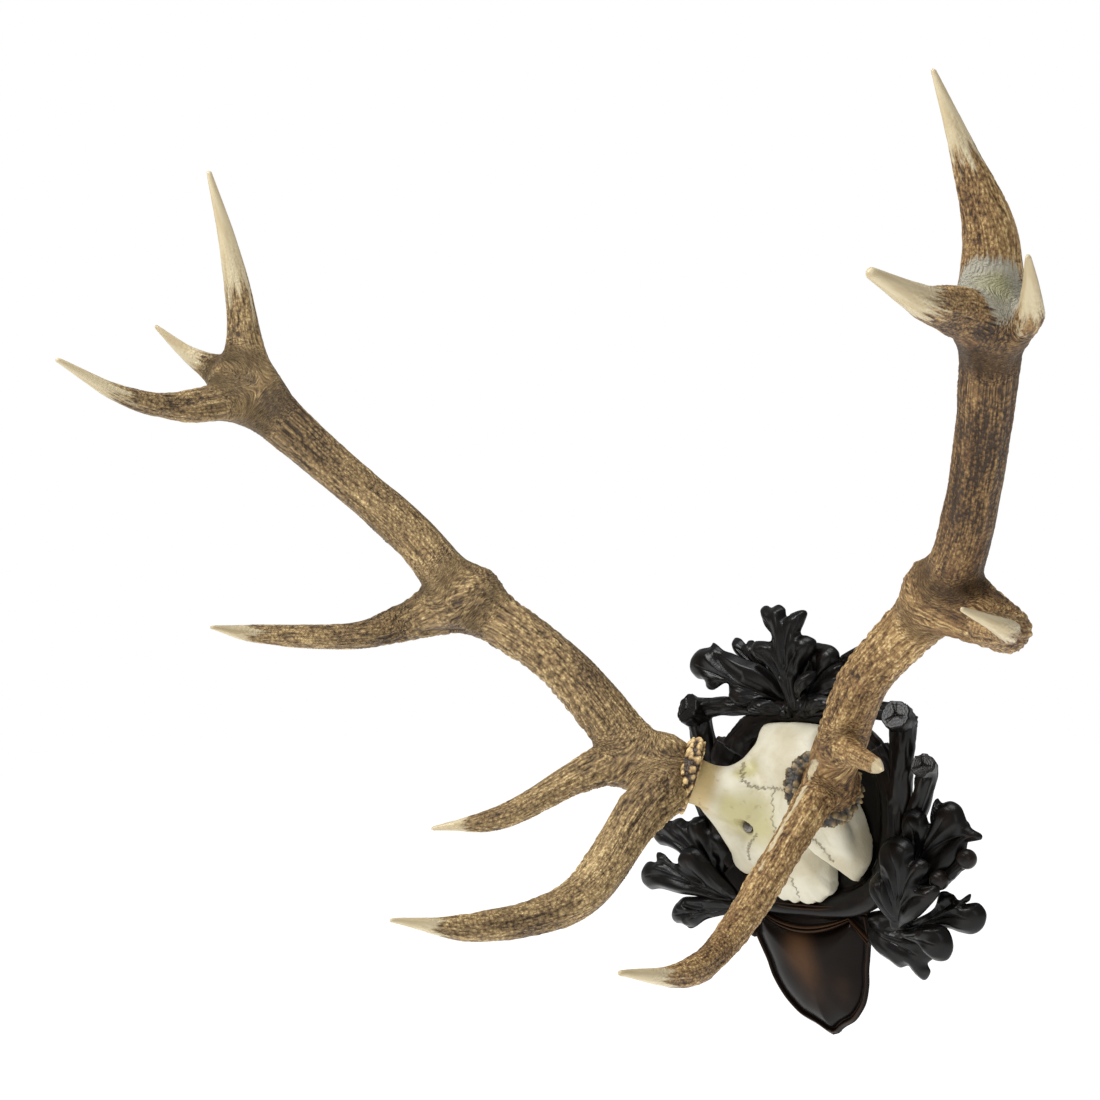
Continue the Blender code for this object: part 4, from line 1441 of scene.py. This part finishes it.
@dataclass
class Acorn:
    """The hanging acorn: a domed shield in a raised border, below a moulded cup.

    Its outline gives the share of the way down, and there the shares of half the width and of the
    cup's standoff.
    """

    width: float = 0.137
    top_z: float = -0.107
    tip_z: float = -0.229
    back: float = 0.004
    undercut: float = 0.42
    dome: float = 0.013
    cup: float = 0.055
    low_z: float = -0.111
    border_height: float = 0.0030
    border_inset: float = 0.0028
    groove_depth: float = 0.0016
    groove_inset: float = 0.0066
    outline: Points = (
        (0.00, 0.98, 0.88), (0.10, 1.00, 0.86), (0.20, 1.00, 0.82), (0.34, 0.93, 0.74),
        (0.43, 0.88, 0.69), (0.56, 0.83, 0.62), (0.70, 0.72, 0.53), (0.80, 0.58, 0.47),
        (0.865, 0.45, 0.42), (0.92, 0.26, 0.36), (0.96, 0.15, 0.32), (0.985, 0.09, 0.29))

    def shield(self) -> Skin:
        """The acorn's body.

        Returns:
            Rows across the face and back along the undercut walls. From the outline inwards the
            face has a rounded border, a groove, and a dome that levels off.
        """
        rows, columns = 110, 90
        curve = catmull_rom(np.asarray(self.outline), rows)
        down, wide, standoff = curve.T
        z = self.top_z + (self.tip_z - self.top_z) * down
        half = np.maximum(wide, 0.01) * self.width / 2
        across = np.sin(np.linspace(-pi / 2, pi / 2, columns))
        x = half[:, None] * across
        edge = np.vstack([np.c_[-half, z], [[0, self.tip_z]], np.c_[half, z][::-1]])
        e = line_distance(np.stack([x, np.repeat(z[:, None], columns, 1)], -1).reshape(-1, 2), edge)
        e = e.reshape(x.shape)
        below = self.low_z - self.sag(x) - z[:, None]
        border = self.border_height * bell(e - self.border_inset, 0.0019)
        groove = -self.groove_depth * bell(e - self.groove_inset, 0.0013)
        inset = np.minimum(e - self.groove_inset, (below + 0.004) * 1.2)
        dome = self.dome * (1 - np.exp(-np.maximum(inset, 0) / 0.0150)) * 1.15
        front = standoff[:, None] * self.cup - 0.003 + border + groove + dome
        face = np.stack([x, -front, np.repeat(z[:, None], columns, 1)], -1)
        share = np.linspace(0, 1, 10)[:, None]
        under = half * self.undercut
        wall = [np.stack([half * (1 - s) + under * s, -(front[:, -1] * (1 - s) + self.back * s), z], -1)
                for s in share[1:, 0]]
        other = [np.stack([-(half * (1 - s) + under * s), -(front[:, 0] * (1 - s) + self.back * s), z],
                          -1) for s in share[::-1][:-1, 0]]
        rings = np.concatenate([face, np.stack(wall, 1), np.stack(other, 1)], axis=1)
        wear = np.zeros(rings.shape[:2])
        high = z[:, None]
        # Painted sheen: a warm lighter patch down the left middle of the dome and a weaker one low on
        # the right; the raised border's share is rubbed edges.
        painted_glow = np.exp(-((x + 0.008) / 0.021) ** 2 - ((high + 0.156 + 0.5 * x) / 0.036) ** 2)
        low = 0.20 * np.exp(-((x - 0.034) / 0.012) ** 2 - ((high + 0.178) / 0.022) ** 2)
        wear[:, :columns] = 0.28 + 0.66 * painted_glow + low + 0.25 * (border > 0.002)
        return Skin.lofted(rings, last=(0, -0.014, self.tip_z), values={"wear": wear})

    def sag(self, x: Array) -> Array:
        """How far the cup's lower edge hangs.

        Args:
            x: places across.

        Returns:
            An arc between two cusps, and a straight fall outside of them.
        """
        cusp = self.width * 0.37
        inner = 0.016 - 0.014 * (x / cusp) ** 2
        outer = 0.002 + 0.024 * (np.abs(x) - cusp) / (self.width / 2 - cusp)
        return np.where(np.abs(x) < cusp, inner, outer)

    def moulding(self) -> Skin:
        """The cup's moulding.

        Returns:
            A profile of two beads, a cove and two beads carried across, its foot on the edge that
            sags.
        """
        share = np.linspace(-1, 1, 170)
        x = share * self.width / 2
        edge = self.low_z - self.sag(x)
        out = self.cup + 0.0045 - 0.011 * share**2
        profile = catmull_rom(np.array([
            (0.00, 0.0060), (0.05, 0.0030), (0.10, 0.0004), (0.15, 0.0034), (0.19, 0.0008),
            (0.24, 0.0016), (0.29, 0.0046), (0.42, 0.0066), (0.56, 0.0062), (0.68, 0.0040),
            (0.72, 0.0044), (0.77, 0.0006), (0.82, 0.0000), (0.86, 0.0036), (0.90, 0.0004),
            (0.95, 0.0014), (1.00, 0.0055)]), 72)
        top = self.low_z + 0.014
        z = top + (edge - top)[:, None] * profile[:, 0]
        y = -(out[:, None] - profile[:, 1])
        face = np.stack([np.repeat(x[:, None], 72, 1), y, z], -1)
        back = np.stack([np.stack([x * 0.6, -0.012 + 0 * x, edge + 0.008], -1),
                         np.stack([x * 0.6, -0.012 + 0 * x, top + 0 * x], -1)], 1)
        rings = np.concatenate([face, back], axis=1)
        # Lighter on the beads' tops: partly rubbed edges, partly a painted glint.
        wear = np.concatenate([0.30 + 100 * np.clip(0.004 - profile[:, 1], 0, 0.004) + 0 * z,
                               np.zeros((170, 2))], axis=1)
        return Skin.lofted(rings, values={"wear": wear})


@dataclass
class Leaf:
    """A carved oak leaf: a broad blade with sunk veins that bulges at its round lobes.

    The edge goes from one side of the root round to the other, in millimetres across and up from
    the middle of the plaque. A lobe is its bulge's middle and radius, in millimetres as well. The
    leaf leans forwards by a share of the way from its root.
    """

    edge: Pairs
    lobes: Points
    standoff: float
    lean: float = 0.06
    thickness: float = 0.010
    seed: int = 1
    swell: float = 0.0034
    fold_depth: float = 0.0030
    vein_depth: float = 0.0012
    flute_depth: float = 0.0026

    @property
    def root(self) -> Array:
        """Where the leaf grows from: half way between the first and the last point."""
        return (np.array(self.edge[0]) + np.array(self.edge[-1])) * 0.0005

    @property
    def bulges(self) -> Array:
        """The lobes in metres."""
        return np.array(self.lobes) * 0.001

    def outline(self, count: int) -> Array:
        """The edge as a closed smooth curve.

        Args:
            count: how many points it gets.

        Returns:
            Points at even steps along it.
        """
        given = np.array(self.edge) * 0.001
        spans = len(given)
        around = np.vstack([given[-2:], given, given[:3]])
        edge = catmull_rom(around, 24 * (spans + 4) + 1)[48:48 + 24 * spans]
        closed = np.vstack([edge, edge[:1]])
        arc = lengths_along(closed)
        at = np.linspace(0, arc[-1], count, endpoint=False)
        return np.stack([np.interp(at, arc, closed[:, k]) for k in range(2)], axis=-1)

    def veins(self, flat: Array) -> Array:
        """How far places are from the nearest vein.

        Args:
            flat: places across and up.

        Returns:
            The distance to curves that leave the root together and part for the lobes.
        """
        root, ends = self.root, self.bulges[:, :2]
        t = np.linspace(0, 1, 14)[:, None]
        centre = ends.mean(axis=0)
        longest = np.linalg.norm(ends - root, axis=1).max()
        nearest = np.full(len(flat), 1.0)
        for end in ends:
            bend = root + (centre - root) * 0.9 * np.linalg.norm(end - root) / longest
            path = (1 - t) ** 2 * root + 2 * t * (1 - t) * bend + t**2 * end
            nearest = np.minimum(nearest, line_distance(flat, path))
        return nearest

    def folds(self, flat: Array, edge: Array, middle: Array) -> Array:
        """Valleys that run inwards from the notches between lobes.

        A notch is the place between two neighbouring lobes where the edge is nearest to the
        middle, and its valley runs half of the way from there to the root.

        Args:
            flat: places across and up.
            edge: the outline.
            middle: the middle of the blade.

        Returns:
            1 in a valley's line, falling to 0 beside it.
        """
        reach = np.linalg.norm(edge - middle, axis=1)
        around = np.arctan2(*(edge - middle).T[::-1])
        turns = np.sort(np.arctan2(*(self.bulges[:, :2] - middle).T[::-1]))
        depth = np.zeros(len(flat))
        for low, high in zip(turns, np.append(turns[1:], turns[0] + 2 * pi)):
            between = (around - low) % (2 * pi) < high - low
            if high - low > 2.4 or not between.any():
                continue
            notch = edge[between][reach[between].argmin()]
            away = line_distance(flat, np.array([notch, notch + (self.root - notch) * 0.5]))
            depth = np.maximum(depth, bell(away, 0.0042))
        return depth

    def height(self, flat: Array, edge: Array, middle: Array) -> tuple[Array, Array, Array]:
        """The carved relief.

        Args:
            flat: places across and up.
            edge: the outline.
            middle: the middle of the blade.

        Returns:
            The relief above the blade's plane, how far in from the edge each place is, and how far
            up a lobe's bulge. The relief is a pillow that levels off from the edge inwards, plus
            ground that swells away from the veins, plus a dome on each lobe, less the folds and
            the veins' own thin grooves, plus flutes that fan out from the root.
        """
        inset = line_distance(flat, np.vstack([edge, edge[:1]]))
        vein = self.veins(flat)
        relief = 0.42 * self.thickness * (1 - np.exp(-inset / 0.0032))
        bulge = np.zeros(len(flat))
        for x, z, radius in self.bulges:
            away = np.hypot(flat[:, 0] - x, flat[:, 1] - z) / radius
            dome = bell(away, 1.05)
            bulge = np.maximum(bulge, dome)
            relief += radius * 0.42 * dome
        inner = smoothstep(0.0, 0.006, inset)
        relief += self.swell * (1 - bell(vein, 0.0058)) * (1 - bulge) * inner
        relief -= self.fold_depth * self.folds(flat, edge, middle) * (1 - 0.6 * bulge)
        relief -= self.vein_depth * bell(vein, 0.0009) * (1 - 0.7 * bulge) * inner
        offset = flat - self.root
        far = np.linalg.norm(offset, axis=1)
        fan = np.arctan2(offset[:, 1], offset[:, 0])
        flutes = fractal(np.stack([fan * 4.6, far * 14, 0 * far + self.seed], -1), 1.0, self.seed, 2)
        relief += (flutes - 0.5) * self.flute_depth * inner * (1 - 0.8 * bulge)
        return relief, inset, bulge

    def skin(self) -> Skin:
        """The leaf as a closed skin.

        Returns:
            Rings out from the middle over the front and back in behind, bowed forwards.
        """
        edge = self.outline(250)
        middle = edge.mean(axis=0)
        fore = 28
        shares = np.concatenate([np.linspace(0.04, 1, fore), [1.0, 0.97, 0.88, 0.6, 0.2]])
        flat = (middle + (edge - middle) * shares[:, None, None]).reshape(-1, 2)
        relief, inset, bulge = self.height(flat, edge, middle)
        behind = -0.0010 - 0.75 * self.thickness * (1 - np.exp(-inset / 0.0036))
        front = np.repeat(np.arange(len(shares)) < fore, len(edge))
        offset = flat - self.root
        far = np.linalg.norm(offset, axis=1)
        bow = self.lean * far + 0.010 * np.sin(pi * np.clip(far / far.max(), 0, 1))
        axis = unit(middle - self.root)
        across = np.abs(offset[:, 0] * axis[1] - offset[:, 1] * axis[0])
        bow -= 0.0030 * (across / 0.03) ** 2
        y = -(self.standoff + bow + np.where(front, relief, behind))
        points = np.stack([flat[:, 0], y, flat[:, 1]], axis=-1)
        wear = np.where(front, 0.10 + 0.45 * bulge + 50 * np.clip(relief - 0.006, 0, 0.004), 0)
        grid = (len(shares), len(edge))
        return Skin.lofted(points.reshape(*grid, 3), values={"wear": wear.reshape(grid)})


@dataclass
class Stick:
    """A carved length of branch with furrowed bark and, where it is cut, a flat end."""

    points: Array
    radii: Array
    cut: bool = True
    seed: int = 1
    furrow_depth: float = 0.0020
    knot_height: float = 0.0044
    crack_depth: float = 0.0018

    def skin(self) -> Skin:
        """The branch and its cut end.

        Returns:
            Rings along the path, their radius cut by furrows along it, then rings over the end with
            a star of cracks.
        """
        sides = 40
        limb = Limb.through(self.points, self.radii, 0.0016)
        angle = full_turn(sides)
        place, turn = np.meshgrid(limb.arc, angle, indexing="ij")
        wide = limb.radii[:, None]
        where = np.stack([np.cos(turn) * wide, np.sin(turn) * wide, place * 0.16], -1).reshape(-1, 3)
        furrow = np.clip(creases(where, 0.0045, self.seed, 2.2), 0, 1).reshape(place.shape)
        knots = fractal(where * (1, 1, 3), 0.012, self.seed + 8, 2).reshape(place.shape) - 0.5
        rings = limb.rings(sides)
        outward = unit(rings - limb.path[:, None])
        carved = (furrow - 0.6) * self.furrow_depth + knots * self.knot_height
        rings = rings + outward * carved[..., None]
        wear = 0.2 + 0.4 * furrow
        if self.cut:
            centre = rings[-1].mean(0)
            shares = np.linspace(0.94, 0.06, 14)[:, None]
            cross = np.abs(np.sin(1.5 * (angle - 0.3)))[None] * shares * limb.radii[-1] / 1.5
            crack = bell(cross, 0.0006) * (1 - shares**4)
            rise = 0.0006 + 0.0003 * np.sin(shares * 34) - self.crack_depth * crack
            face = centre + (rings[-1] - centre) * shares[..., None] + limb.tangent[-1] * rise[..., None]
            rings = np.concatenate([rings, face])
            wear = np.concatenate([wear, 0.6 - 0.6 * crack])
        return Skin.lofted(rings, values={"wear": wear})


@dataclass
class Gall:
    """A smooth oak gall or bud, a ball with a shallow dimple."""

    middle: Array
    radius: float

    def skin(self) -> Skin:
        """The ball.

        Returns:
            Rings of a ball whose front is pressed in a little.
        """
        t, p = np.meshgrid(np.linspace(0.06, pi - 0.06, 22), full_turn(32), indexing="ij")
        press = 1 - 0.10 * bell(t - pi, 0.5)
        ball = np.stack([np.sin(t) * np.cos(p), np.cos(t) * press, np.sin(t) * np.sin(p)], -1)
        return Skin.lofted(np.asarray(self.middle) + ball * self.radius,
                           values={"wear": 0.35 + 0.3 * np.sin(t)})


@dataclass
class Spray:
    """Leaves, galls and branches that belong to one part of the rim."""

    board: Board
    branch_diameter: float = 0.020
    trunk_height: float = 0.160
    gall_diameter: float = 0.0185

    def top(self) -> list[Skin]:
        """A forked leaf over two wide ones, two leaves behind them, small ones and a bud.

        Returns:
            Their skins.
        """
        forked = Leaf(
            ((-4, 86), (-11, 112), (-22, 127), (-34, 132), (-41, 140), (-36, 148), (-26, 149),
             (-16, 149), (-15, 155), (-19, 164), (-26, 170), (-31, 178), (-25, 182), (-17, 180),
             (-9, 183), (-1, 179), (1, 172), (8, 175), (18, 178), (23, 175), (21, 166), (18, 156),
             (26, 154), (34, 149), (32, 139), (20, 127), (11, 113), (6, 86)),
            ((-21, 173, 9), (14, 169, 8), (-31, 141, 9), (25, 145, 8)), 0.060, seed=3)
        wide = Leaf(
            ((-12, 94), (-20, 112), (-35, 125), (-53, 131), (-67, 136), (-79, 139), (-88, 144),
             (-94, 146), (-98, 142), (-111, 139), (-121, 130), (-122, 119), (-114, 112),
             (-104, 110), (-102, 103), (-93, 101), (-84, 106), (-74, 107), (-73, 95), (-64, 87),
             (-49, 86), (-33, 92), (-18, 88)),
            ((-109, 125, 13), (-88, 137, 6), (-95, 108, 7), (-60, 96, 9)), 0.052, seed=4)
        mirror = Leaf(
            ((2, 88), (18, 90), (34, 89), (50, 90), (64, 88), (72, 96), (86, 104), (100, 100),
             (112, 110), (118, 122), (108, 134), (92, 128), (76, 124), (58, 120), (40, 116),
             (20, 104), (8, 96)),
            ((104, 118, 12), (64, 98, 9), (92, 122, 7), (36, 100, 8)), 0.050, seed=5)
        behind = Leaf(
            ((-20, 97), (-32, 116), (-54, 124), (-71, 133), (-80, 143), (-77, 150), (-68, 149),
             (-61, 144), (-57, 148), (-50, 147), (-42, 139), (-27, 122), (-17, 106)),
            ((-72, 142, 6), (-50, 140, 6)), 0.043, seed=6)
        back = Leaf(
            ((-8, 90), (-2, 116), (10, 136), (20, 146), (31, 146), (42, 144), (49, 139), (51, 133),
             (53, 127), (60, 131), (63, 137), (67, 143), (74, 143), (78, 137), (74, 124), (58, 114),
             (37, 105), (15, 88)),
            ((36, 135, 11), (70, 135, 7), (20, 134, 5)), 0.043, seed=7)
        ragged = [
            Leaf(((6, 80), (18, 94), (34, 100), (50, 96), (58, 90), (50, 84), (40, 86), (24, 80)),
                 ((48, 91, 6), (30, 91, 6)), 0.058, seed=8),
            Leaf(((-16, 76), (-14, 90), (-8, 101), (4, 104), (14, 100), (19, 88), (16, 76)),
                 ((-7, 95, 7), (9, 95, 7)), 0.048, seed=21),
            Leaf(((-6, 80), (-18, 90), (-32, 94), (-46, 91), (-54, 84), (-42, 80), (-24, 79)),
                 ((-44, 86, 6), (-28, 87, 6)), 0.058, seed=9)]
        bud = Leaf(((9, 98), (13, 108), (22, 119), (31, 122), (35, 117), (31, 109), (20, 101),
                    (13, 96)), ((28, 115, 6),), 0.066, seed=10)
        return [leaf.skin() for leaf in (forked, wide, mirror, behind, back, *ragged, bud)]

    def leaves(self, side: Side) -> list[Leaf]:
        """The leaves beside the acorn.

        Args:
            side: which side.

        Returns:
            The leaves, from back to front.
        """
        if side is Side.RIGHT:
            return [
                Leaf(((101, -88), (110, -56), (117, -35), (116, -18), (120, -7), (131, -3),
                      (142, -7), (147, -16), (151, -11), (150, 1), (154, 7), (159, 3), (169, 5),
                      (179, 0), (185, -12), (190, -19), (198, -24), (197, -29), (187, -30),
                      (184, -39), (179, -52), (163, -64), (135, -77), (117, -93)),
                     ((129, -13, 10), (154, -2, 4), (170, -8, 11), (190, -26, 4)), 0.045, seed=11),
                Leaf(((99, -115), (127, -104), (148, -93), (155, -78), (168, -79), (175, -84),
                      (185, -78), (185, -84), (181, -87), (193, -86), (200, -95), (197, -107),
                      (188, -114), (176, -113), (160, -110), (133, -116)),
                     ((186, -99, 11), (171, -85, 4), (158, -86, 6)), 0.043, seed=12),
                Leaf(((105, -117), (130, -111), (150, -105), (165, -106), (172, -113), (174, -126),
                      (168, -137), (158, -138), (148, -131), (139, -123), (122, -121)),
                     ((162, -122, 10), (144, -114, 5)), 0.060, seed=13),
                Leaf(((64, -106), (92, -100), (114, -106), (130, -118), (138, -130), (136, -141),
                      (130, -147), (131, -155), (124, -163), (117, -158), (112, -150), (102, -152),
                      (92, -146), (76, -138), (62, -124)),
                     ((125, -138, 7), (112, -126, 8), (92, -122, 9)), 0.038, 0.02, seed=19),
                Leaf(((112, -112), (110, -90), (107, -56), (104, -42), (109, -32), (121, -27),
                      (135, -29), (143, -37), (143, -47), (150, -45), (158, -49), (158, -57),
                      (149, -67), (152, -72), (165, -69), (169, -75), (161, -86), (146, -99),
                      (126, -108)),
                     ((123, -40, 12), (151, -53, 5), (160, -78, 7), (113, -60, 6)), 0.068,
                     seed=14),
                Leaf(((116, -106), (105, -90), (97, -78), (96, -67), (103, -61), (112, -61),
                      (118, -67), (120, -83), (122, -100)), ((106, -70, 8),), 0.072, seed=20),
            ]
        return [
            Leaf(((-83, -93), (-93, -75), (-88, -53), (-95, -40), (-110, -33), (-115, -24),
                  (-126, -23), (-136, -28), (-146, -25), (-160, -29), (-171, -26), (-180, -35),
                  (-186, -45), (-178, -53), (-163, -54), (-147, -59), (-127, -74), (-100, -92)),
                 ((-119, -36, 10), (-149, -37, 8), (-176, -41, 7), (-100, -55, 6)), 0.045,
                 seed=15),
            Leaf(((-76, -96), (-93, -76), (-105, -62), (-117, -52), (-130, -52), (-138, -60),
                  (-141, -68), (-152, -65), (-158, -60), (-168, -59), (-170, -68), (-181, -69),
                  (-190, -78), (-190, -90), (-180, -96), (-163, -94), (-139, -97), (-115, -99),
                  (-95, -104)),
                 ((-178, -82, 11), (-163, -66, 4), (-125, -62, 9)), 0.056, seed=16),
            Leaf(((-77, -105), (-101, -97), (-122, -99), (-139, -101), (-150, -108), (-157, -119),
                  (-153, -127), (-142, -127), (-133, -131), (-123, -128), (-112, -121),
                  (-98, -117), (-88, -114)),
                 ((-146, -118, 9), (-126, -121, 7), (-138, -107, 5)), 0.053, seed=17),
        ]

    def lower(self, side: Side) -> list[Skin]:
        """What grows from the lower side of the rim.

        Args:
            side: which side.

        Returns:
            The skins of the leaves and, on the right, of two galls and their stem.
        """
        x = side.value
        radius = self.gall_diameter / 2
        near = (x * 0.164, -0.067, -0.065)
        far = (x * 0.191, -0.062, -0.045)
        stem = Stick([(x * 0.125, -0.052, -0.082), (x * 0.160, -0.060, -0.068), far], 0.0055, False,
                     24 + x)
        leaves = [leaf.skin() for leaf in self.leaves(side)]
        if side is Side.LEFT:
            return leaves
        return leaves + [Gall(near, radius).skin(), Gall(far, radius).skin(), stem.skin()]

    def branches(self, side: Side) -> list[Skin]:
        """The cut branches beside the rim.

        Args:
            side: which side.

        Returns:
            The skins of the trunk, its stub and its fork, and of the arm to the rim's top.
        """
        at, thick, top = self.placer(side), self.branch_diameter / 2, self.trunk_height
        trunk = [at(0.012, -0.004, 0.004), at(0.026, 0.004, top * 0.5), at(0.038, 0.010, top - 0.006)]
        stub = [at(0.034, 0.004, top - 0.014), at(0.037, 0.014, top - 0.008),
                at(0.039, 0.024, top - 0.003)]
        fork = [at(0.024, 0.000, 0.030), at(0.048, 0.002, top * 0.48), at(0.061, 0.010, top * 0.65),
                at(0.067, 0.024, top * 0.705)]
        crown = (self.board.point(np.array(pi / 2), 0.010, self.board.crest)
                 + (side.value * 0.004, 0, 0.010))
        elbow = trunk[-1] + (0, 0, 0.002)
        arm = [crown, (crown + elbow) / 2 + (0, 0, 0.003), elbow]
        seed = 50 + side.value * 4
        return [
            Stick(trunk, np.array([1.0, 1.1, 1.2]) * thick, True, seed).skin(),
            Stick(stub, np.array([1.2, 1.4, 1.45]) * thick, True, seed + 1).skin(),
            Stick(fork, np.array([1, 0.87, 0.98, 1.12]) * thick, True, seed + 2).skin(),
            Stick(arm, np.array([0.8, 0.75, 1.05]) * thick, False, seed + 3).skin(),
        ]

    def placer(self, side: Side) -> Callable[[float, float, float], Array]:
        """A way to place points from the root of the side spray.

        Args:
            side: which side.

        Returns:
            A function of how far out, forwards and up a point lies.
        """
        hub = self.board.point(np.array(-0.66), 0.010, 0.044)
        turn = np.array([side.value, 1, 1])
        return lambda x, y, z: (hub + (x, -y, z)) * turn


# Studio


@dataclass
class Studio:
    """A pale floor, soft lights and the camera.

    A lamp is its name, its place, the length of its side and its watts.
    """

    camera_at: Triple = (1.7249, -2.3091, 0.3004)
    yaw: float = 42.0
    pitch: float = 1.2
    roll: float = -1.9
    focal_pixels: float = 3020.0
    picture_pixels: float = 1100.0
    floor_z: float = -0.90
    floor_reach: float = 9.0
    floor_glow: float = 0.72
    backdrop: float = 0.37
    lit_point: Triple = (0.0, -0.15, 0.15)
    lamps: tuple[tuple[str, Triple, float, float], ...] = (
        ("key", (-0.9, -2.6, 2.5), 1.3, 105.0), ("fill", (2.6, -2.6, 1.0), 1.6, 14.0),
        ("top", (0.2, -0.6, 2.8), 1.2, 34.0))

    def camera(self) -> None:
        """The camera, from its place and its three angles."""
        yaw, pitch, roll = radians(self.yaw), radians(self.pitch), radians(self.roll)
        ahead = np.array([-sin(yaw) * cos(pitch), cos(yaw) * cos(pitch), -sin(pitch)])
        right = np.array([cos(yaw), sin(yaw), 0.0])
        up = np.cross(right, ahead)
        across = right * cos(roll) + up * sin(roll)
        above = up * cos(roll) - right * sin(roll)
        scene, data = bpy.context.scene, bpy.data.cameras.new("camera")
        data.sensor_fit = "HORIZONTAL"
        data.sensor_width = 36.0
        data.lens = self.focal_pixels * 36.0 / self.picture_pixels
        piece = bpy.data.objects.new("camera", data)
        turn = Matrix(np.stack([across, above, -ahead], axis=1).tolist()).to_4x4()
        piece.matrix_world = Matrix.Translation(Vector(self.camera_at)) @ turn
        scene.collection.objects.link(piece)
        scene.camera = piece

    def lamp(self, name: str, place: Triple, size: float, watts: float) -> None:
        """A square soft light that looks at the trophy.

        Args:
            name: its name.
            place: where it hangs.
            size: the length of its side.
            watts: its power.
        """
        data = bpy.data.lights.new(name, "AREA")
        data.size = size
        data.energy = watts
        piece = bpy.data.objects.new(name, data)
        look = Vector(self.lit_point) - Vector(place)
        piece.matrix_world = (Matrix.Translation(Vector(place))
                              @ look.to_track_quat("-Z", "Y").to_matrix().to_4x4())
        bpy.context.scene.collection.objects.link(piece)

    def floor(self) -> bpy.types.Object:
        """A wide pale floor.

        Returns:
            The floor.
        """
        ways = np.array([(-1, -1), (1, -1), (1, 1), (-1, 1)])
        corners = np.c_[ways * self.floor_reach, np.full(4, self.floor_z)]
        shader = Shader("pale floor", Roughness=0.9, Emission_Strength=self.floor_glow)
        shader.feed(shader.principled.inputs["Base Color"], (0.90, 0.90, 0.89))
        shader.feed(shader.principled.inputs["Emission Color"], (1.0, 1.0, 1.0))
        return Skin(corners, np.array([[0, 1, 2, 3]])).to_object("floor", shader.material)

    def build(self) -> None:
        """Set up the studio."""
        self.camera()
        for lamp in self.lamps:
            self.lamp(*lamp)
        world = bpy.data.worlds.new("studio")
        world.use_nodes = True
        tree = world.node_tree
        backdrop = tree.nodes["Background"]
        backdrop.inputs["Color"].default_value = (1.0, 1.0, 1.0, 1.0)
        seen = tree.nodes.new("ShaderNodeLightPath")
        share = tree.nodes.new("ShaderNodeMapRange")
        share.inputs["To Min"].default_value = self.backdrop
        share.inputs["To Max"].default_value = 1.0
        tree.links.new(seen.outputs["Is Camera Ray"], share.inputs["Value"])
        tree.links.new(share.outputs[0], backdrop.inputs["Strength"])
        bpy.context.scene.world = world
        bpy.context.scene.view_settings.view_transform = "Standard"
        self.floor()


def place_piece(skin: Skin, name: str, finish: bpy.types.Material, node: str) -> None:
    """Make a piece of the trophy, hang it under the root body and hide the solid that it stands for.

    Args:
        skin: its surface.
        name: its name.
        finish: its material.
        node: the solid that it takes the place of.
    """
    piece = skin.to_object(name, finish)
    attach(piece, "root")
    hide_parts(node)
    LOG.info("%s: %d vertices", name, len(skin.vertices))


def main() -> None:
    """Build the trophy, piece by piece, and the studio."""
    logging.basicConfig(level=logging.INFO, format="%(name)s: %(message)s")
    antlers = [Antler(Side.LEFT, left_branches()), Antler(
        Side.RIGHT, right_branches(), dusk=0.56, palm=1.0, strip=0.47, base_flare=1.25,
        ring_scale=1.06, beam_shift=(0.0045, 0.004, -0.001))]
    finishes = [
        AntlerFinish("antler left").material(),
        AntlerFinish("antler right", furrow=(0.036, 0.019, 0.008), brown=(0.150, 0.080, 0.028),
                     ground=(0.29, 0.178, 0.070), pearl=(0.46, 0.300, 0.122),
                     rusty=0.45).material()]
    burrs = [
        BurrFinish("burr left", (0.040, 0.022, 0.010), (0.34, 0.215, 0.085), (0.72, 0.53, 0.25)),
        BurrFinish("burr right", (0.012, 0.008, 0.004), (0.070, 0.046, 0.019), (0.26, 0.185, 0.085))]
    for antler, finish, burr in zip(antlers, finishes, burrs):
        word = antler.side.word
        place_piece(antler.skin(), f"antler_{word}", finish, BONE_NODE)
        place_piece(antler.burr(), f"burr_{word}", burr.material(), BONE_NODE)
    board, screws = Board(), [Screw(side) for side in Side]
    skull = SkullCap(board).skin(antlers, [screw.seat for screw in screws])
    place_piece(skull, "skull_cap", SkullFinish().material(), BONE_NODE)
    steel = SteelFinish().material()
    for screw in screws:
        word = screw.side.word
        place_piece(screw.skin(), f"screw_{word}", steel, f"skull_screw_{word}")

    acorn, spray = Acorn(), Spray(board)
    wood = WoodFinish().material()
    # Its second colour is rubbed brown and also the acorn's painted warm sheen and the cup's painted
    # glints.
    polished = WoodFinish("polished oak", (0.0042, 0.0022, 0.0014), (0.078, 0.037, 0.016),
                          sheen=0.34, marks=0.0002, gloss=0.08, patchy=0.3).material()
    carved = {"board": (board.skin(), wood), "acorn": (acorn.shield(), polished),
              "acorn_cup": (acorn.moulding(), polished),
              "top_leaves": (Skin.joined(spray.top()), wood)}
    for side in Side:
        carved[f"leaves_{side.word}"] = Skin.joined(spray.lower(side)), wood
        carved[f"branches_{side.word}"] = Skin.joined(spray.branches(side)), wood
    for name, (skin, finish) in carved.items():
        place_piece(skin, name, finish, WOOD_NODE)
    Studio().build()


if __name__ == "__main__":
    main()
